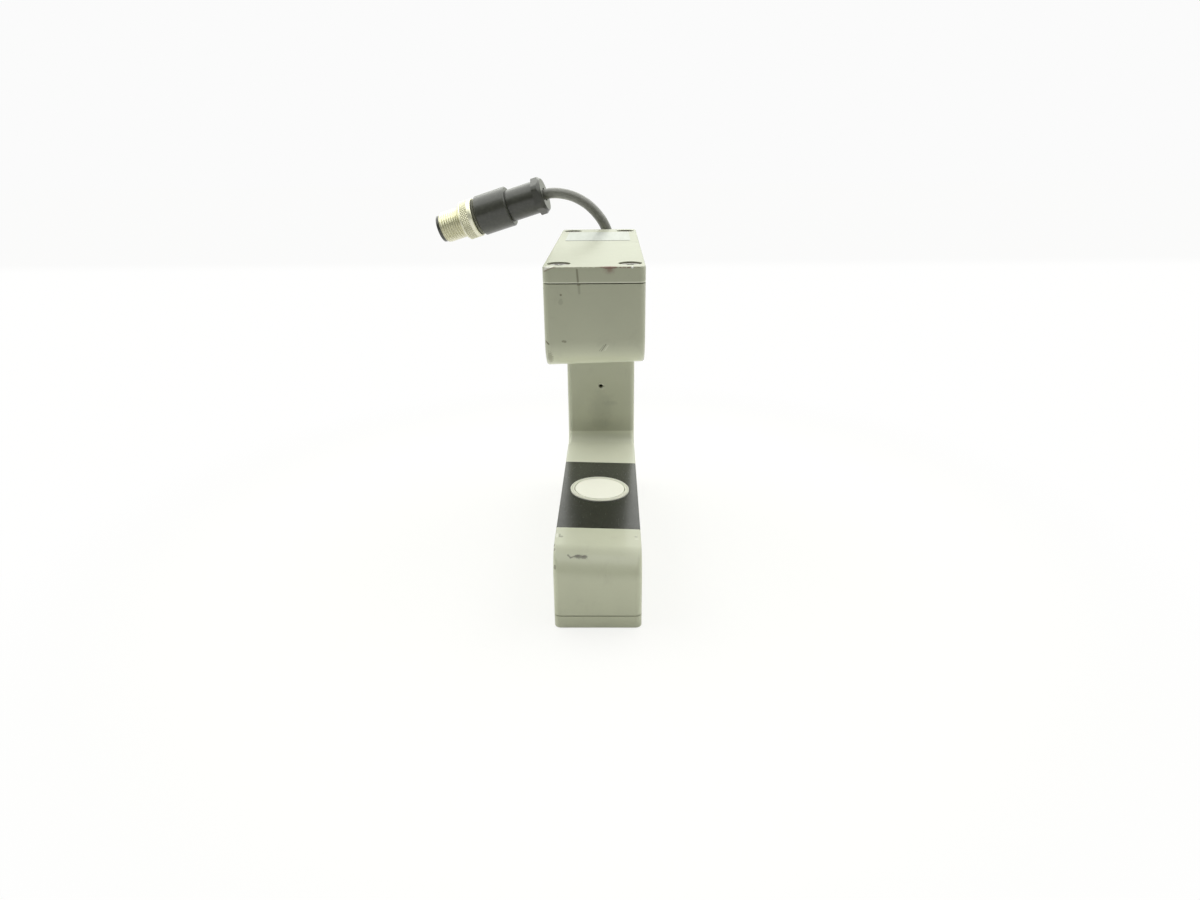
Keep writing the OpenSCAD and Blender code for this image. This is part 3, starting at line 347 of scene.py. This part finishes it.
LOWER_NOSE_WEAR = [
    (SCRATCH, ((-9.3, -57.1, 24.3), (-8.5, -57.7, 23.7), 0.5, 0.3), 0.85, GRIME, 0.6, 0.01),
    (SCRATCH, ((-8.5, -57.7, 23.7), (-6.2, -57.2, 24.2), 0.5, 0.34), 0.9, GRIME, 0.6, 0.01),
    (SCRATCH, ((-6.4, -57.2, 24.2), (-3.4, -57.5, 23.9), 0.45, 0.42), 0.9, GRIME, 0.6, 0.01),
    (SPOT, ((-6.0, -57.4, 24.0), (1.4, 0.9, 0.8), 1.3, 3.6), 0.85, GRIME, 0.6, 0.01),
    (SPOT, ((-4.2, -57.5, 23.9), (1.2, 0.8, 0.7), 1.3, 3.6), 0.8, GRIME, 0.6, 0.01),
    (SPOT, ((-12.0, -47.6, 26.0), (0.9, 0.7, 1.0), 0.5, 1.8), 0.5, GRIME, 0.6, 0),
    (SPOT, ((-13.4, -46.9, 26.0), (0.5, 1.8, 1.0), 0.4, 1.2), 0.7, PAINT_LIGHT, 0.5, 0.02),
    (SPOT, ((-12.5, -46.6, 26.0), (0.35, 1.2, 1.0), 0.4, 1.8), 0.5, GRIME, 0.6, 0.02),
    (SPOT, ((12.4, -46.4, 25.9), (1.1, 0.5, 1.2), 0.6, 1.8), 0.55, GRIME, 0.6, 0.01),
    (SPOT, ((12.6, -48.0, 25.9), (1.2, 0.4, 1.2), 0.4, 1.2), 0.8, PAINT_LIGHT, 0.5, 0.01),
    (SCRATCH, ((10.8, -58.7, 22.9), (7.1, -59.9, 21.4), 0.2, 0.3), 0.6, PAINT_LIGHT, 0.5, 0),
    (SPOT, ((-13.75, -53.1, 25.5), (0.4, 0.8, 0.8), 0.7, 1.4), 0.6, GRIME, 0.6, 0.01),
    (SPOT, ((-13.6, -55.1, 25.1), (0.4, 0.7, 0.8), 0.7, 1.4), 0.5, GRIME, 0.6, 0.01),
    (SPOT, ((-13.4, -59.7, 21.6), (0.5, 1.0, 0.9), 0.6, 1.6), 0.55, GRIME, 0.6, 0.01),
]
COVER_RIM_WEAR = [
    (SCRATCH, ((-13.0, FRONT_Y, TOP_Z - 0.15), (13.5, FRONT_Y, TOP_Z - 0.15), 0.24, 0.4),
     0.6, RIM_DIRT, 0.6, 0),
]
COVER_FRONT_WEAR = [
    (SPOT, ((4.1, FRONT_Y, TOP_Z - 0.9), (2.3, 1.0, 1.6), 0.4, 1.0, 0.9), 0.4, PRIMER, 0.62, 0),
    (SPOT, ((3.9, FRONT_Y, TOP_Z - 0.1), (2.4, 1.0, 0.62), 0.5, 1.4), 0.75, PRIMER, 0.62, 0.03),
    (SPOT, ((4.2, FRONT_Y, TOP_Z - 0.7), (1.0, 1.0, 0.9), 0.6, 1.6, 0.6),
     0.45, PRIMER, 0.62, 0.02),
    (SCRATCH, ((5.4, FRONT_Y, TOP_Z - 0.2), (9.6, FRONT_Y, TOP_Z - 0.2), 0.32, 0.36),
     0.7, PRIMER, 0.62, 0.02),
    (SPOT, ((10.3, FRONT_Y, TOP_Z - 0.25), (0.4, 0.8, 0.35), 0.2), 0.95, BARE_NICK, 0.4, 0.02),
    (SCRATCH, ((-4.6, FRONT_Y, TOP_Z - 0.8), (-4.35, FRONT_Y, TOP_Z - 3.9), 0.42, 0.2),
     0.62, SCUFF, 0.6, 0),
]


def wear(g, table):
    """The marks of a table of wear."""
    return [(g.times(kind(g, *takes), share), tone, rough, depth)
            for kind, takes, share, tone, rough, depth in table]


def casting_marks(g):
    """Painted light in the throat and painted shade above it, then the marks on the column and
    the wear on the two noses.
    """
    x, y, z = g.axis("X"), g.axis("Y"), g.axis("Z")
    in_gap = g.times(g.step(g.math("ABSOLUTE", x), HALF_WIDTH - 0.1, HALF_WIDTH - 0.5),
                     g.step(y, COLUMN_Y + 1.0, COLUMN_Y + 0.5))
    # Painted light: paler paint over the throat and the lower arm's top behind the plate
    pale_patch = g.times(in_gap, g.step(z, THROAT_TOP_Z + 0.5, THROAT_TOP_Z - 0.2),
                   g.step(z, LOWER_GAP_Z - 0.7, LOWER_GAP_Z - 0.4),
                   g.step(y, PLATE_REAR_Y - 2.5, PLATE_REAR_Y - 0.5))
    # Painted shade: grime colour darkening the column's face just above the throat
    foot = g.times(in_gap, g.step(z, THROAT_TOP_Z + 8.4, THROAT_TOP_Z + 1.4),
                   g.step(z, THROAT_TOP_Z - 0.2, THROAT_TOP_Z + 0.4),
                   g.step(y, COLUMN_Y - 3.0, COLUMN_Y - 1.0))
    return [
        # painted light in the throat
        (g.times(pale_patch, 0.82), THROAT_PAINTED_LIGHT, 0.5, 0),
        # painted shade on the column's foot
        (g.times(foot, 0.15), GRIME, 0.55, 0),
        *wear(g, COLUMN_MARKS + UPPER_FRONT_WEAR + LOWER_NOSE_WEAR),
    ]


def cover_marks(g):
    """Painted shade in the screw pockets and a painted highlight all round the upper cover's
    lower edge, and on its front a chipped corner and the wear of the rim."""
    x, y, z = g.axis("X"), g.axis("Y"), g.axis("Z")
    on_front = g.step(y, FRONT_Y + 0.9, FRONT_Y + 0.6)
    from_screw = g.node("ShaderNodeCombineXYZ")
    g.link(g.math("SUBTRACT", g.math("ABSOLUTE", x), SCREW_X), from_screw.inputs[0])
    from_mid_y = g.math("ABSOLUTE", g.math("SUBTRACT", y, SCREW_MID_Y))
    g.link(g.math("SUBTRACT", from_mid_y, SCREW_HALF_Y), from_screw.inputs[1])
    from_mid_z = g.math("ABSOLUTE", g.math("SUBTRACT", z, TOP_Z / 2))
    # Painted shade: the screw pockets are darkened
    pocket = g.times(g.step(g.vector("LENGTH", from_screw.outputs[0]), POCKET_R + 0.15, POCKET_R),
                     g.step(from_mid_z, TOP_Z / 2 - 0.1, TOP_Z / 2 - 0.5))
    # Painted highlight: a pale band all round the upper cover's lower edge
    edge_highlight = g.times(g.step(z, COVER_LOW_Z + 0.42, COVER_LOW_Z + 0.28),
                  g.step(z, UPPER_ONLY_Z, UPPER_ONLY_Z + 1.0))
    wave = g.times(g.math("SUBTRACT", g.noise(0.9, 4.0, 0.6), 0.5), 0.5)
    from_side = g.times(g.math("ADD", x, HALF_WIDTH), 1 / CHIP_WIDTH)
    from_top = g.times(g.math("SUBTRACT", TOP_Z, z), 1 / CHIP_HEIGHT)
    corner = g.math("ADD", g.math("ADD", from_side, from_top), wave)
    chip = g.times(g.step(corner, 0.95, 0.85), on_front)
    outline = g.times(g.step(corner, 1.3, 1.05), on_front)
    return [
        # painted shade in the screw pockets
        (g.times(pocket, 0.6), POCKET_PAINTED_SHADE, 0.6, 0),
        # painted highlight on the cover's lower edge
        (g.times(edge_highlight, 0.8), PAINTED_EDGE_HIGHLIGHT, 0.4, 0),
        *wear(g, COVER_RIM_WEAR),
        (g.times(outline, 0.6), CHIP_EDGE, 0.6, 0),
        (chip, CHIP_FILLER, 0.5, 0.04),
        *wear(g, COVER_FRONT_WEAR),
    ]


def rubber(name, base, rough=0.6, grain=0.02, **fixed):
    """Plain look without gloss of metal, for rubber, plastic, ceramic and the wires, with a faint
    mottle and a grain of that many millimetres."""
    g = Graph(name)
    mottle = g.step(g.noise(0.7, 4.0), 0.35, 0.7)
    tone = g.mix(mottle, scaled(base, 0.9), scaled(base, 1.15))
    return g.finish(tone, g.math("ADD", rough, g.times(g.noise(1.1, 3.0), 0.12)),
                    g.bump(g.noise(6.0, 3.0), grain), **fixed)


def metal(name, base, rough):
    """Plain metal with an uneven polish."""
    g = Graph(name)
    tone = g.mix(g.step(g.noise(0.5, 4.0), 0.3, 0.7), scaled(base, 0.93), base)
    dull = g.noise(2.5, 3.0, 0.6)
    return g.finish(tone, g.math("ADD", rough, g.times(dull, 0.14)),
                    g.bump(dull, 0.01), metallic=1.0)


def face_plate(name):
    """Glossy black plate with fine handling scratches, patches of dust, and a painted reflection
    that makes it paler towards the rear.
    """
    g = Graph(name)
    pale_patch = g.times(g.step(g.noise(0.35, 5.0, 0.6), 0.5, 0.78), 0.2)
    # Painted reflection: the plate turns paler towards the rear, on top of the dust patches
    dust_and_painted_reflection = g.math("ADD", pale_patch, g.step(g.axis("Y"), -25.0, 12.0))
    color = g.mix(g.times(dust_and_painted_reflection, 0.19), (0.0085, 0.0095, 0.0075), (0.20, 0.21, 0.17))
    hair = g.step(g.noise(0.9, 2.0, 0.5, stretch=(6, 0.35, 1)), 0.66, 0.7)
    rough = g.math("ADD", 0.17, g.times(g.noise(0.25, 4.0), 0.1))
    rough = g.math("ADD", rough, g.times(hair, 0.08))
    height = g.times(g.noise(0.18, 2.0), 0.02)
    return g.finish(color, rough, g.bump(height, 1.0), Specular_IOR_Level=0.46)


def nickel(name):
    """Bright plated ring with painted shade in the grooves of its thread and knurl."""
    g = Graph(name)
    axis = tuple(PLUG_AXIS)
    offset = g.vector("SUBTRACT", g.place, tuple(PLUG_TIP / MM))
    z = g.vector("DOT_PRODUCT", offset, axis)
    radius = g.vector("LENGTH", g.vector("SUBTRACT", offset, g.vector("SCALE", axis, scale=z)))
    in_thread = g.times(g.step(radius, THREAD_R - 0.25, THREAD_R - THREAD_DEPTH),
                        g.step(z, THREAD_END + 0.1, THREAD_END - 0.1))
    in_knurl = g.times(g.step(radius, KNURL_R - 0.08, KNURL_R - 0.22),
                       g.step(z, KNURL_START - 0.1, KNURL_START),
                       g.step(z, KNURL_END + 0.1, KNURL_END))
    bright = g.step(g.noise(0.5, 4.0), 0.3, 0.7)
    tone = g.mix(bright, (0.77, 0.755, 0.60), (0.84, 0.825, 0.67))
    # Painted shade in the grooves of the thread and knurl
    tone = g.mix(g.times(g.either(in_thread, in_knurl), 0.6), tone, (0.50, 0.485, 0.34))
    dull = g.noise(2.5, 3.0, 0.6)
    return g.finish(tone, g.math("ADD", 0.34, g.times(dull, 0.16)),
                    g.bump(dull, 0.01), metallic=1.0)


def white_face(name, base):
    """Off-white transducer material, slightly porous."""
    g = Graph(name)
    pores = g.step(g.noise(3.2, 3.0, 0.6), 0.6, 0.72)
    stains = g.step(g.noise(0.3, 3.0), 0.45, 0.7)
    color = g.mix(g.times(pores, 0.08), base, scaled(base, 0.75))
    color = g.mix(g.times(stains, 0.12), color, scaled(base, 0.9))
    return g.finish(color, 0.45, g.bump(g.noise(5.0, 3.0), 0.02))


MATERIALS = {
    "casting_paint": paint("casting_paint_look", PAINT, casting_marks),
    "cover_paint": paint("cover_paint_look", PAINT_COVER, cover_marks),
    "gasket_rubber": rubber("gasket_rubber_look", (0.16, 0.16, 0.12)),
    "screw_steel": metal("screw_steel_look", (0.34, 0.33, 0.31), 0.4),
    "black_plate": face_plate("black_plate_look"),
    "case_plastic": white_face("case_plastic_look", (0.77, 0.78, 0.65)),
    "white_face": white_face("white_face_look", (0.95, 0.955, 0.82)),
    "ceramic": rubber("ceramic_look", (0.72, 0.66, 0.5), 0.35),
    "damping_foam": rubber("damping_foam_look", (0.12, 0.11, 0.1), 0.8, 0.1),
    "lead_insulation": rubber("lead_insulation_look", (0.5, 0.06, 0.04), 0.4),
    "retainer_metal": metal("retainer_metal_look", (0.8, 0.8, 0.78), 0.3),
    "board_laminate": rubber("board_laminate_look", (0.02, 0.17, 0.07), 0.3),
    "chip_black": rubber("chip_black_look", (0.03, 0.03, 0.032), 0.5),
    "cable_jacket": rubber("cable_jacket_look", (0.25, 0.252, 0.222), 0.32,
                           Coat_Weight=0.4, Coat_Roughness=0.25),
    "plug_plastic": rubber("plug_plastic_look", (0.054, 0.056, 0.045), 0.24, 0.012,
                           Coat_Weight=0.35, Coat_Roughness=0.22),
    "ring_nickel": nickel("ring_nickel_look"),
    "pin_gold": metal("pin_gold_look", (0.9, 0.68, 0.3), 0.22),
    "wire_copper": rubber("wire_copper_look", (0.42, 0.2, 0.08), 0.4),
}


# ---------------------------------------------------------------- CAD nodes
def smooth_group(limit):
    """Geometry nodes that smooth all edges flatter than the limit."""
    tree = bpy.data.node_groups.new("smooth_by_angle", "GeometryNodeTree")
    tree.interface.new_socket("Geometry", in_out="INPUT", socket_type="NodeSocketGeometry")
    tree.interface.new_socket("Geometry", in_out="OUTPUT", socket_type="NodeSocketGeometry")
    start, end = tree.nodes.new("NodeGroupInput"), tree.nodes.new("NodeGroupOutput")
    angle = tree.nodes.new("GeometryNodeInputMeshEdgeAngle")
    flat = tree.nodes.new("FunctionNodeCompare")
    flat.data_type, flat.operation = "FLOAT", "LESS_EQUAL"
    flat.inputs[1].default_value = limit
    faces = tree.nodes.new("GeometryNodeSetShadeSmooth")
    edges = tree.nodes.new("GeometryNodeSetShadeSmooth")
    faces.domain, edges.domain = "FACE", "EDGE"
    tree.links.new(angle.outputs["Unsigned Angle"], flat.inputs[0])
    tree.links.new(start.outputs[0], faces.inputs[0])
    tree.links.new(faces.outputs[0], edges.inputs[0])
    tree.links.new(flat.outputs[0], edges.inputs["Shade Smooth"])
    tree.links.new(edges.outputs[0], end.inputs[0])
    return tree


SMOOTH_BELOW = math.radians(35)
WELD_DISTANCE = 2e-6
SMOOTH = smooth_group(SMOOTH_BELOW)


def shade(piece, weld=False):
    """Rounds shade smoothly and flat faces stay flat."""
    if weld:
        piece.modifiers.new("weld", "WELD").merge_threshold = WELD_DISTANCE
    piece.modifiers.new("smooth", "NODES").node_group = SMOOTH
    weighted = piece.modifiers.new("weighted", "WEIGHTED_NORMAL")
    weighted.keep_sharp = True


def dress_nodes():
    """Looks and smooth shading for the CAD parts, with their shapes left alone."""
    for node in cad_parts.values():
        stored = node.data.attributes.get("custom_normal")
        if stored is not None:
            node.data.attributes.remove(stored)
        for place in node.material_slots:
            place.material = MATERIALS[place.material.name.split(".")[0]]
        shade(node, weld=True)


# ---------------------------------------------------------------- cable
CABLE_D = 0.004
# The points of the cable in part.scad, in metres, from the plug down to the gland
CABLE_ROUTE = [
    (-0.0226, 0.0514, 0.1261), (-0.0207, 0.0512, 0.1266), (-0.0189, 0.0510, 0.1268),
    (-0.0167, 0.0508, 0.1268), (-0.0141, 0.0504, 0.1265), (-0.0118, 0.0500, 0.1260),
    (-0.0095, 0.0496, 0.1252), (-0.0074, 0.0493, 0.1242), (-0.0054, 0.0489, 0.1230),
    (-0.0036, 0.0486, 0.1216), (-0.0019, 0.0483, 0.1200), (-0.0004, 0.0480, 0.1183),
    (0.0010, 0.0477, 0.1164), (0.0021, 0.0475, 0.1144), (0.0031, 0.0473, 0.1120),
    (0.0039, 0.0471, 0.1090), (0.0043, 0.0470, 0.1060), (0.0045, 0.0470, 0.1040)]


def add_object(name, data, body, slot_name=None):
    made = bpy.data.objects.new(name, data)
    scene.collection.objects.link(made)
    if slot_name:
        data.materials.append(MATERIALS[slot_name])
    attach(made, body)
    return made


def make_cable():
    """The short cable stands up in an arch, stiff enough to carry its plug."""
    curve = bpy.data.curves.new("cable_jacket_piece", "CURVE")
    curve.dimensions = "3D"
    curve.bevel_depth = CABLE_D / 2
    curve.bevel_resolution = 10
    curve.use_fill_caps = True
    spline = curve.splines.new("BEZIER")
    spline.bezier_points.add(len(CABLE_ROUTE) - 1)
    spline.resolution_u = 6
    for point, place in zip(spline.bezier_points, CABLE_ROUTE):
        point.co = place
        point.handle_left_type = point.handle_right_type = "AUTO"
    return add_object("cable_jacket_piece", curve, "sensor", "cable_jacket")


# ---------------------------------------------------------------- plug
def plug_matrix():
    turn = Matrix.Rotation(PLUG_TURN, 4, "Z") @ Matrix.Rotation(math.pi / 2 - PLUG_RISE, 4, "Y")
    return Matrix.Translation(PLUG_TIP) @ turn @ Matrix.Scale(MM, 4)


def saw(x):
    """Triangle wave from 0 to 1 with a period of 1."""
    return abs(2 * (x - math.floor(x)) - 1)


def ring_radius(z, angle):
    """Radius of the coupling ring: thread, cone, knurl and plain rim."""
    if z < THREAD_END:
        start = min(1.0, max(0.0, (z - RING_START) / THREAD_LEAD))
        end = min(1.0, max(0.0, (THREAD_END - z) / THREAD_RUNOUT))
        wave = saw(z / THREAD_PITCH - angle / (2 * math.pi))
        depth = THREAD_DEPTH * min(1.0, max(0.0, wave * 1.5 - 0.2)) * end
        outer = THREAD_R - THREAD_LEAD * (1 - start)
        return min(outer, THREAD_R - depth)
    if z < CONE_END:
        share = (z - THREAD_END) / (CONE_END - THREAD_END)
        return CONE_R + (KNURL_R - CONE_R) * share
    if KNURL_START < z < KNURL_END:
        lead = (z - KNURL_START) / KNURL_LEAD
        turns = angle / (2 * math.pi) * KNURL_COUNT
        one, two = saw(turns + lead), saw(turns - lead)
        ramp = min(1.0, (z - KNURL_START) / KNURL_RAMP, (KNURL_END - z) / KNURL_RAMP)
        return KNURL_R - KNURL_DEPTH * min(1.0, 1.5 * max(one, two) ** 1.5) * ramp
    if z > RING_END - RIM_BEVEL:
        return KNURL_R - (z - RING_END + RIM_BEVEL) * RIM_SLOPE
    return KNURL_R


def bridge(mesh, low, high):
    """Band of faces between two closed loops of as many points."""
    for k in range(len(low)):
        n = (k + 1) % len(low)
        mesh.faces.new((low[k], low[n], high[n], high[k]))


def make_ring():
    """Coupling ring with its real thread and knurl."""
    steps = [RING_START + HAIR]
    while steps[-1] < THREAD_END - HAIR:
        steps.append(min(THREAD_END - HAIR / 2, steps[-1] + THREAD_STEP))
    steps += [THREAD_END, CONE_END]
    z = KNURL_START
    while z < KNURL_END:
        steps.append(z)
        z += KNURL_STEP
    steps += [KNURL_END, KNURL_END + 0.05]
    steps += [RING_END - RIM_BEVEL, RING_END - RIM_BEVEL / 2, RING_END]
    angles = [2 * math.pi * k / RING_SIDES for k in range(RING_SIDES)]
    mesh = bmesh.new()

    def loop(z, radii):
        return [mesh.verts.new((r * math.cos(a), r * math.sin(a), z))
                for r, a in zip(radii, angles)]

    rings = [loop(z, [ring_radius(z, a) for a in angles]) for z in steps]
    rings += [loop(z, [BORE_R] * RING_SIDES) for z in (RING_END, RING_START + HAIR)]
    for low, high in zip(rings, rings[1:] + rings[:1]):
        bridge(mesh, low, high)
    bmesh.ops.recalc_face_normals(mesh, faces=mesh.faces)
    data = bpy.data.meshes.new("coupling_ring_piece")
    mesh.to_mesh(data)
    mesh.free()
    data.transform(plug_matrix())
    made = add_object("coupling_ring_piece", data, "plug_ring", "ring_nickel")
    shade(made)
    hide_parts("coupling_ring")
    return made


# ---------------------------------------------------------------- label
LABEL_HALF = 11.1
LABEL_FRONT = 0.2
LABEL_REAR = 27.5
LABEL_T = 0.08
LABEL_CORNER_R = 1.0
LABEL_EDGE = 0.04


def label_look():
    """Bare silvery foil with a thin dark line at its front."""
    g = Graph("label_foil_look")
    line = g.step(g.axis("Y"), LABEL_FRONT + 0.75, LABEL_FRONT + 0.6)
    streaks = g.noise(0.5, 3.0, 0.6, stretch=(1, 0.12, 1))
    tone = g.mix(g.step(streaks, 0.35, 0.7), (0.50, 0.54, 0.475), (0.575, 0.61, 0.55))
    tone = g.mix(g.times(line, 0.75), tone, (0.10, 0.11, 0.12))
    rough = g.math("ADD", 0.3, g.times(streaks, 0.15))
    return g.finish(tone, rough, g.bump(g.noise(0.4, 3.0), 0.02),
                    Coat_Weight=0.6, Coat_Roughness=0.2)


def rounded_outline(half_x, low_y, high_y, radius, count=6):
    """Points of a rectangle with rounded corners."""
    points = []
    for sx, cy, start in ((1, low_y + radius, -90), (1, high_y - radius, 0),
                          (-1, high_y - radius, 90), (-1, low_y + radius, 180)):
        for k in range(count + 1):
            a = math.radians(start + 90 * k / count)
            points.append((sx * (half_x - radius) + radius * math.cos(a),
                           cy + radius * math.sin(a)))
    return points


def make_label():
    """Thin bare foil on the upper cover."""
    mesh = bmesh.new()
    rings = []
    for z, inset in ((0.0, 0.0), (LABEL_T * 0.7, 0.0), (LABEL_T, LABEL_EDGE)):
        outline = rounded_outline(LABEL_HALF - inset, LABEL_FRONT + inset, LABEL_REAR - inset,
                                  LABEL_CORNER_R)
        rings.append([mesh.verts.new((x * MM, y * MM, (TOP_Z + z) * MM)) for x, y in outline])
    for low, high in zip(rings, rings[1:]):
        bridge(mesh, low, high)
    mesh.faces.new(rings[-1])
    mesh.faces.new(list(reversed(rings[0])))
    data = bpy.data.meshes.new("label_foil")
    mesh.to_mesh(data)
    mesh.free()
    data.materials.append(label_look())
    shade(add_object("label_foil", data, "sensor"))


# ---------------------------------------------------------------- studio
FLOOR_HALF = 3.0
# Behind this line the floor is seen in the tone that the world has there
FAR_EDGE = 0.755
FAR_TONE = 0.965
# Round the object the floor is light, keeps a shadow and glows less than further out
POOL_START = 0.12
POOL_END = 0.34
SHADE_END = 0.22
NEAR_GLOW = 0.74
FLOOR_NEAR = (0.95, 0.955, 0.88)
FLOOR_FAR = (0.15, 0.15, 0.145)
# Light that the floor throws up from a ring round the object's base
BASE_HALF_Y = 0.06
BOUNCE = 0.56
BOUNCE_INNER = (0.015, 0.05)
BOUNCE_OUTER = (0.24, 0.16)
GLOSS_TINT = (0.97, 1.0, 0.89)
GLOSS_DIM = 0.22
SIDE_LIGHT = 0.8
BACK_LIGHT = 0.3
SUN_ENERGY = 2.74
SUN_SPREAD = 110
SUN_LEAN = 15


def plane(name, corners, material):
    data = bpy.data.meshes.new(name)
    data.from_pydata(corners, [], [tuple(range(len(corners)))])
    data.materials.append(material)
    made = bpy.data.objects.new(name, data)
    scene.collection.objects.link(made)


class Stage(Graph):
    """Node tree of the floor or the world, which has no Principled shader."""

    def __init__(self, tree, output):
        self.tree = tree
        tree.nodes.clear()
        self.output = self.node(output)

    def light(self, kind, color, strength):
        made = self.node(kind)
        made.inputs["Color"].default_value = (*color, 1.0)
        self.feed(made.inputs["Strength"], strength)
        return made.outputs[0]

    def either_shader(self, share, a, b):
        made = self.node("ShaderNodeMixShader")
        self.feed(made.inputs[0], share)
        self.link(a, made.inputs[1])
        self.link(b, made.inputs[2])
        return made.outputs[0]

    def seen_rays(self):
        """1 for rays that see a thing directly, in gloss or through glass, and 0 for those that
        light it, and then 1 for the rays in gloss alone."""
        path = self.node("ShaderNodeLightPath").outputs
        glossy = path["Is Glossy Ray"]
        return self.either(path["Is Camera Ray"], glossy, path["Is Transmission Ray"]), glossy


def make_floor():
    """White floor that glows for the rays that see it, keeps the object's shadow and throws
    light up round it."""
    material = bpy.data.materials.new("floor_look")
    material.use_nodes = True
    g = Stage(material.node_tree, "ShaderNodeOutputMaterial")
    place = g.node("ShaderNodeTexCoord").outputs["Object"]
    far = g.step(g.axis("Y", place), FAR_EDGE - 0.05, FAR_EDGE + 0.05)
    pool = g.step(g.vector("LENGTH", place), POOL_START, POOL_END)
    diffuse = g.node("ShaderNodeBsdfDiffuse")
    g.link(g.mix(pool, FLOOR_NEAR, FLOOR_FAR), diffuse.inputs["Color"])
    glow = g.light("ShaderNodeEmission", (1, 1, 0.995), g.blend(far, 1.0, FAR_TONE))
    seen = g.seen_rays()[0]
    from_base = g.node("ShaderNodeCombineXYZ")
    g.link(g.axis("X", place), from_base.inputs[0])
    beside = g.math("SUBTRACT", g.math("ABSOLUTE", g.axis("Y", place)), BASE_HALF_Y)
    g.link(g.math("MAXIMUM", beside, 0.0), from_base.inputs[1])
    distance = g.vector("LENGTH", from_base.outputs[0])
    ring = g.times(g.step(distance, *BOUNCE_INNER), g.step(distance, *BOUNCE_OUTER))
    strength = g.times(g.math("SUBTRACT", 1.0, seen), ring, BOUNCE)
    under = g.node("ShaderNodeAddShader")
    g.link(diffuse.outputs[0], under.inputs[0])
    g.link(g.light("ShaderNodeEmission", (1, 1, 0.97), strength), under.inputs[1])
    near = g.step(g.vector("LENGTH", place), POOL_START, SHADE_END)
    share = g.times(seen, g.blend(near, NEAR_GLOW, 1.0))
    g.link(g.either_shader(share, under.outputs[0], glow), g.output.inputs["Surface"])
    plane("floor", [(-FLOOR_HALF, -FLOOR_HALF, 0), (FLOOR_HALF, -FLOOR_HALF, 0),
                    (FLOOR_HALF, FLOOR_HALF, 0), (-FLOOR_HALF, FLOOR_HALF, 0)], material)


def make_world():
    """Pale studio: white where it is seen, dim in gloss from low in front, and lit from the
    sides and the back."""
    world = bpy.data.worlds.new("studio")
    scene.world = world
    world.use_nodes = True
    g = Stage(world.node_tree, "ShaderNodeOutputWorld")
    way = g.node("ShaderNodeTexCoord").outputs["Generated"]
    x, y, z = g.axis("X", way), g.axis("Y", way), g.axis("Z", way)
    white = g.either(g.step(y, -0.75, 0.15), g.step(z, 0.3, 0.8))
    seen, glossy = g.seen_rays()
    tone = g.blend(glossy, FAR_TONE, g.blend(white, GLOSS_DIM, 1.0))
    side = g.times(g.step(g.math("ABSOLUTE", x), 0.25, 0.8), g.step(y, -0.65, 0.1))
    back = g.step(y, -0.3, 0.7)
    strength = g.math("ADD", g.blend(side, 0.0, SIDE_LIGHT), g.times(back, BACK_LIGHT))
    lit = g.light("ShaderNodeBackground", (1, 1, 0.99), strength)
    shown = g.light("ShaderNodeBackground", (1, 1, 1), tone)
    g.link(g.mix(glossy, (1, 1, 1), GLOSS_TINT), shown.node.inputs["Color"])
    g.link(g.either_shader(seen, lit, shown), g.output.inputs["Surface"])


def make_sun(energy, spread, back):
    """Wide soft light from above, leaning back by some degrees."""
    data = bpy.data.lights.new("top_light", "SUN")
    data.energy, data.angle = energy, math.radians(spread)
    lamp = bpy.data.objects.new("top_light", data)
    lamp.rotation_euler = (math.radians(-back), 0, 0)
    scene.collection.objects.link(lamp)


# ---------------------------------------------------------------- all together
cable = make_cable()
ring = make_ring()
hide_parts("cable")
dress_nodes()
make_label()
make_floor()
make_world()
make_sun(SUN_ENERGY, SUN_SPREAD, SUN_LEAN)
scene.view_settings.view_transform = "Standard"
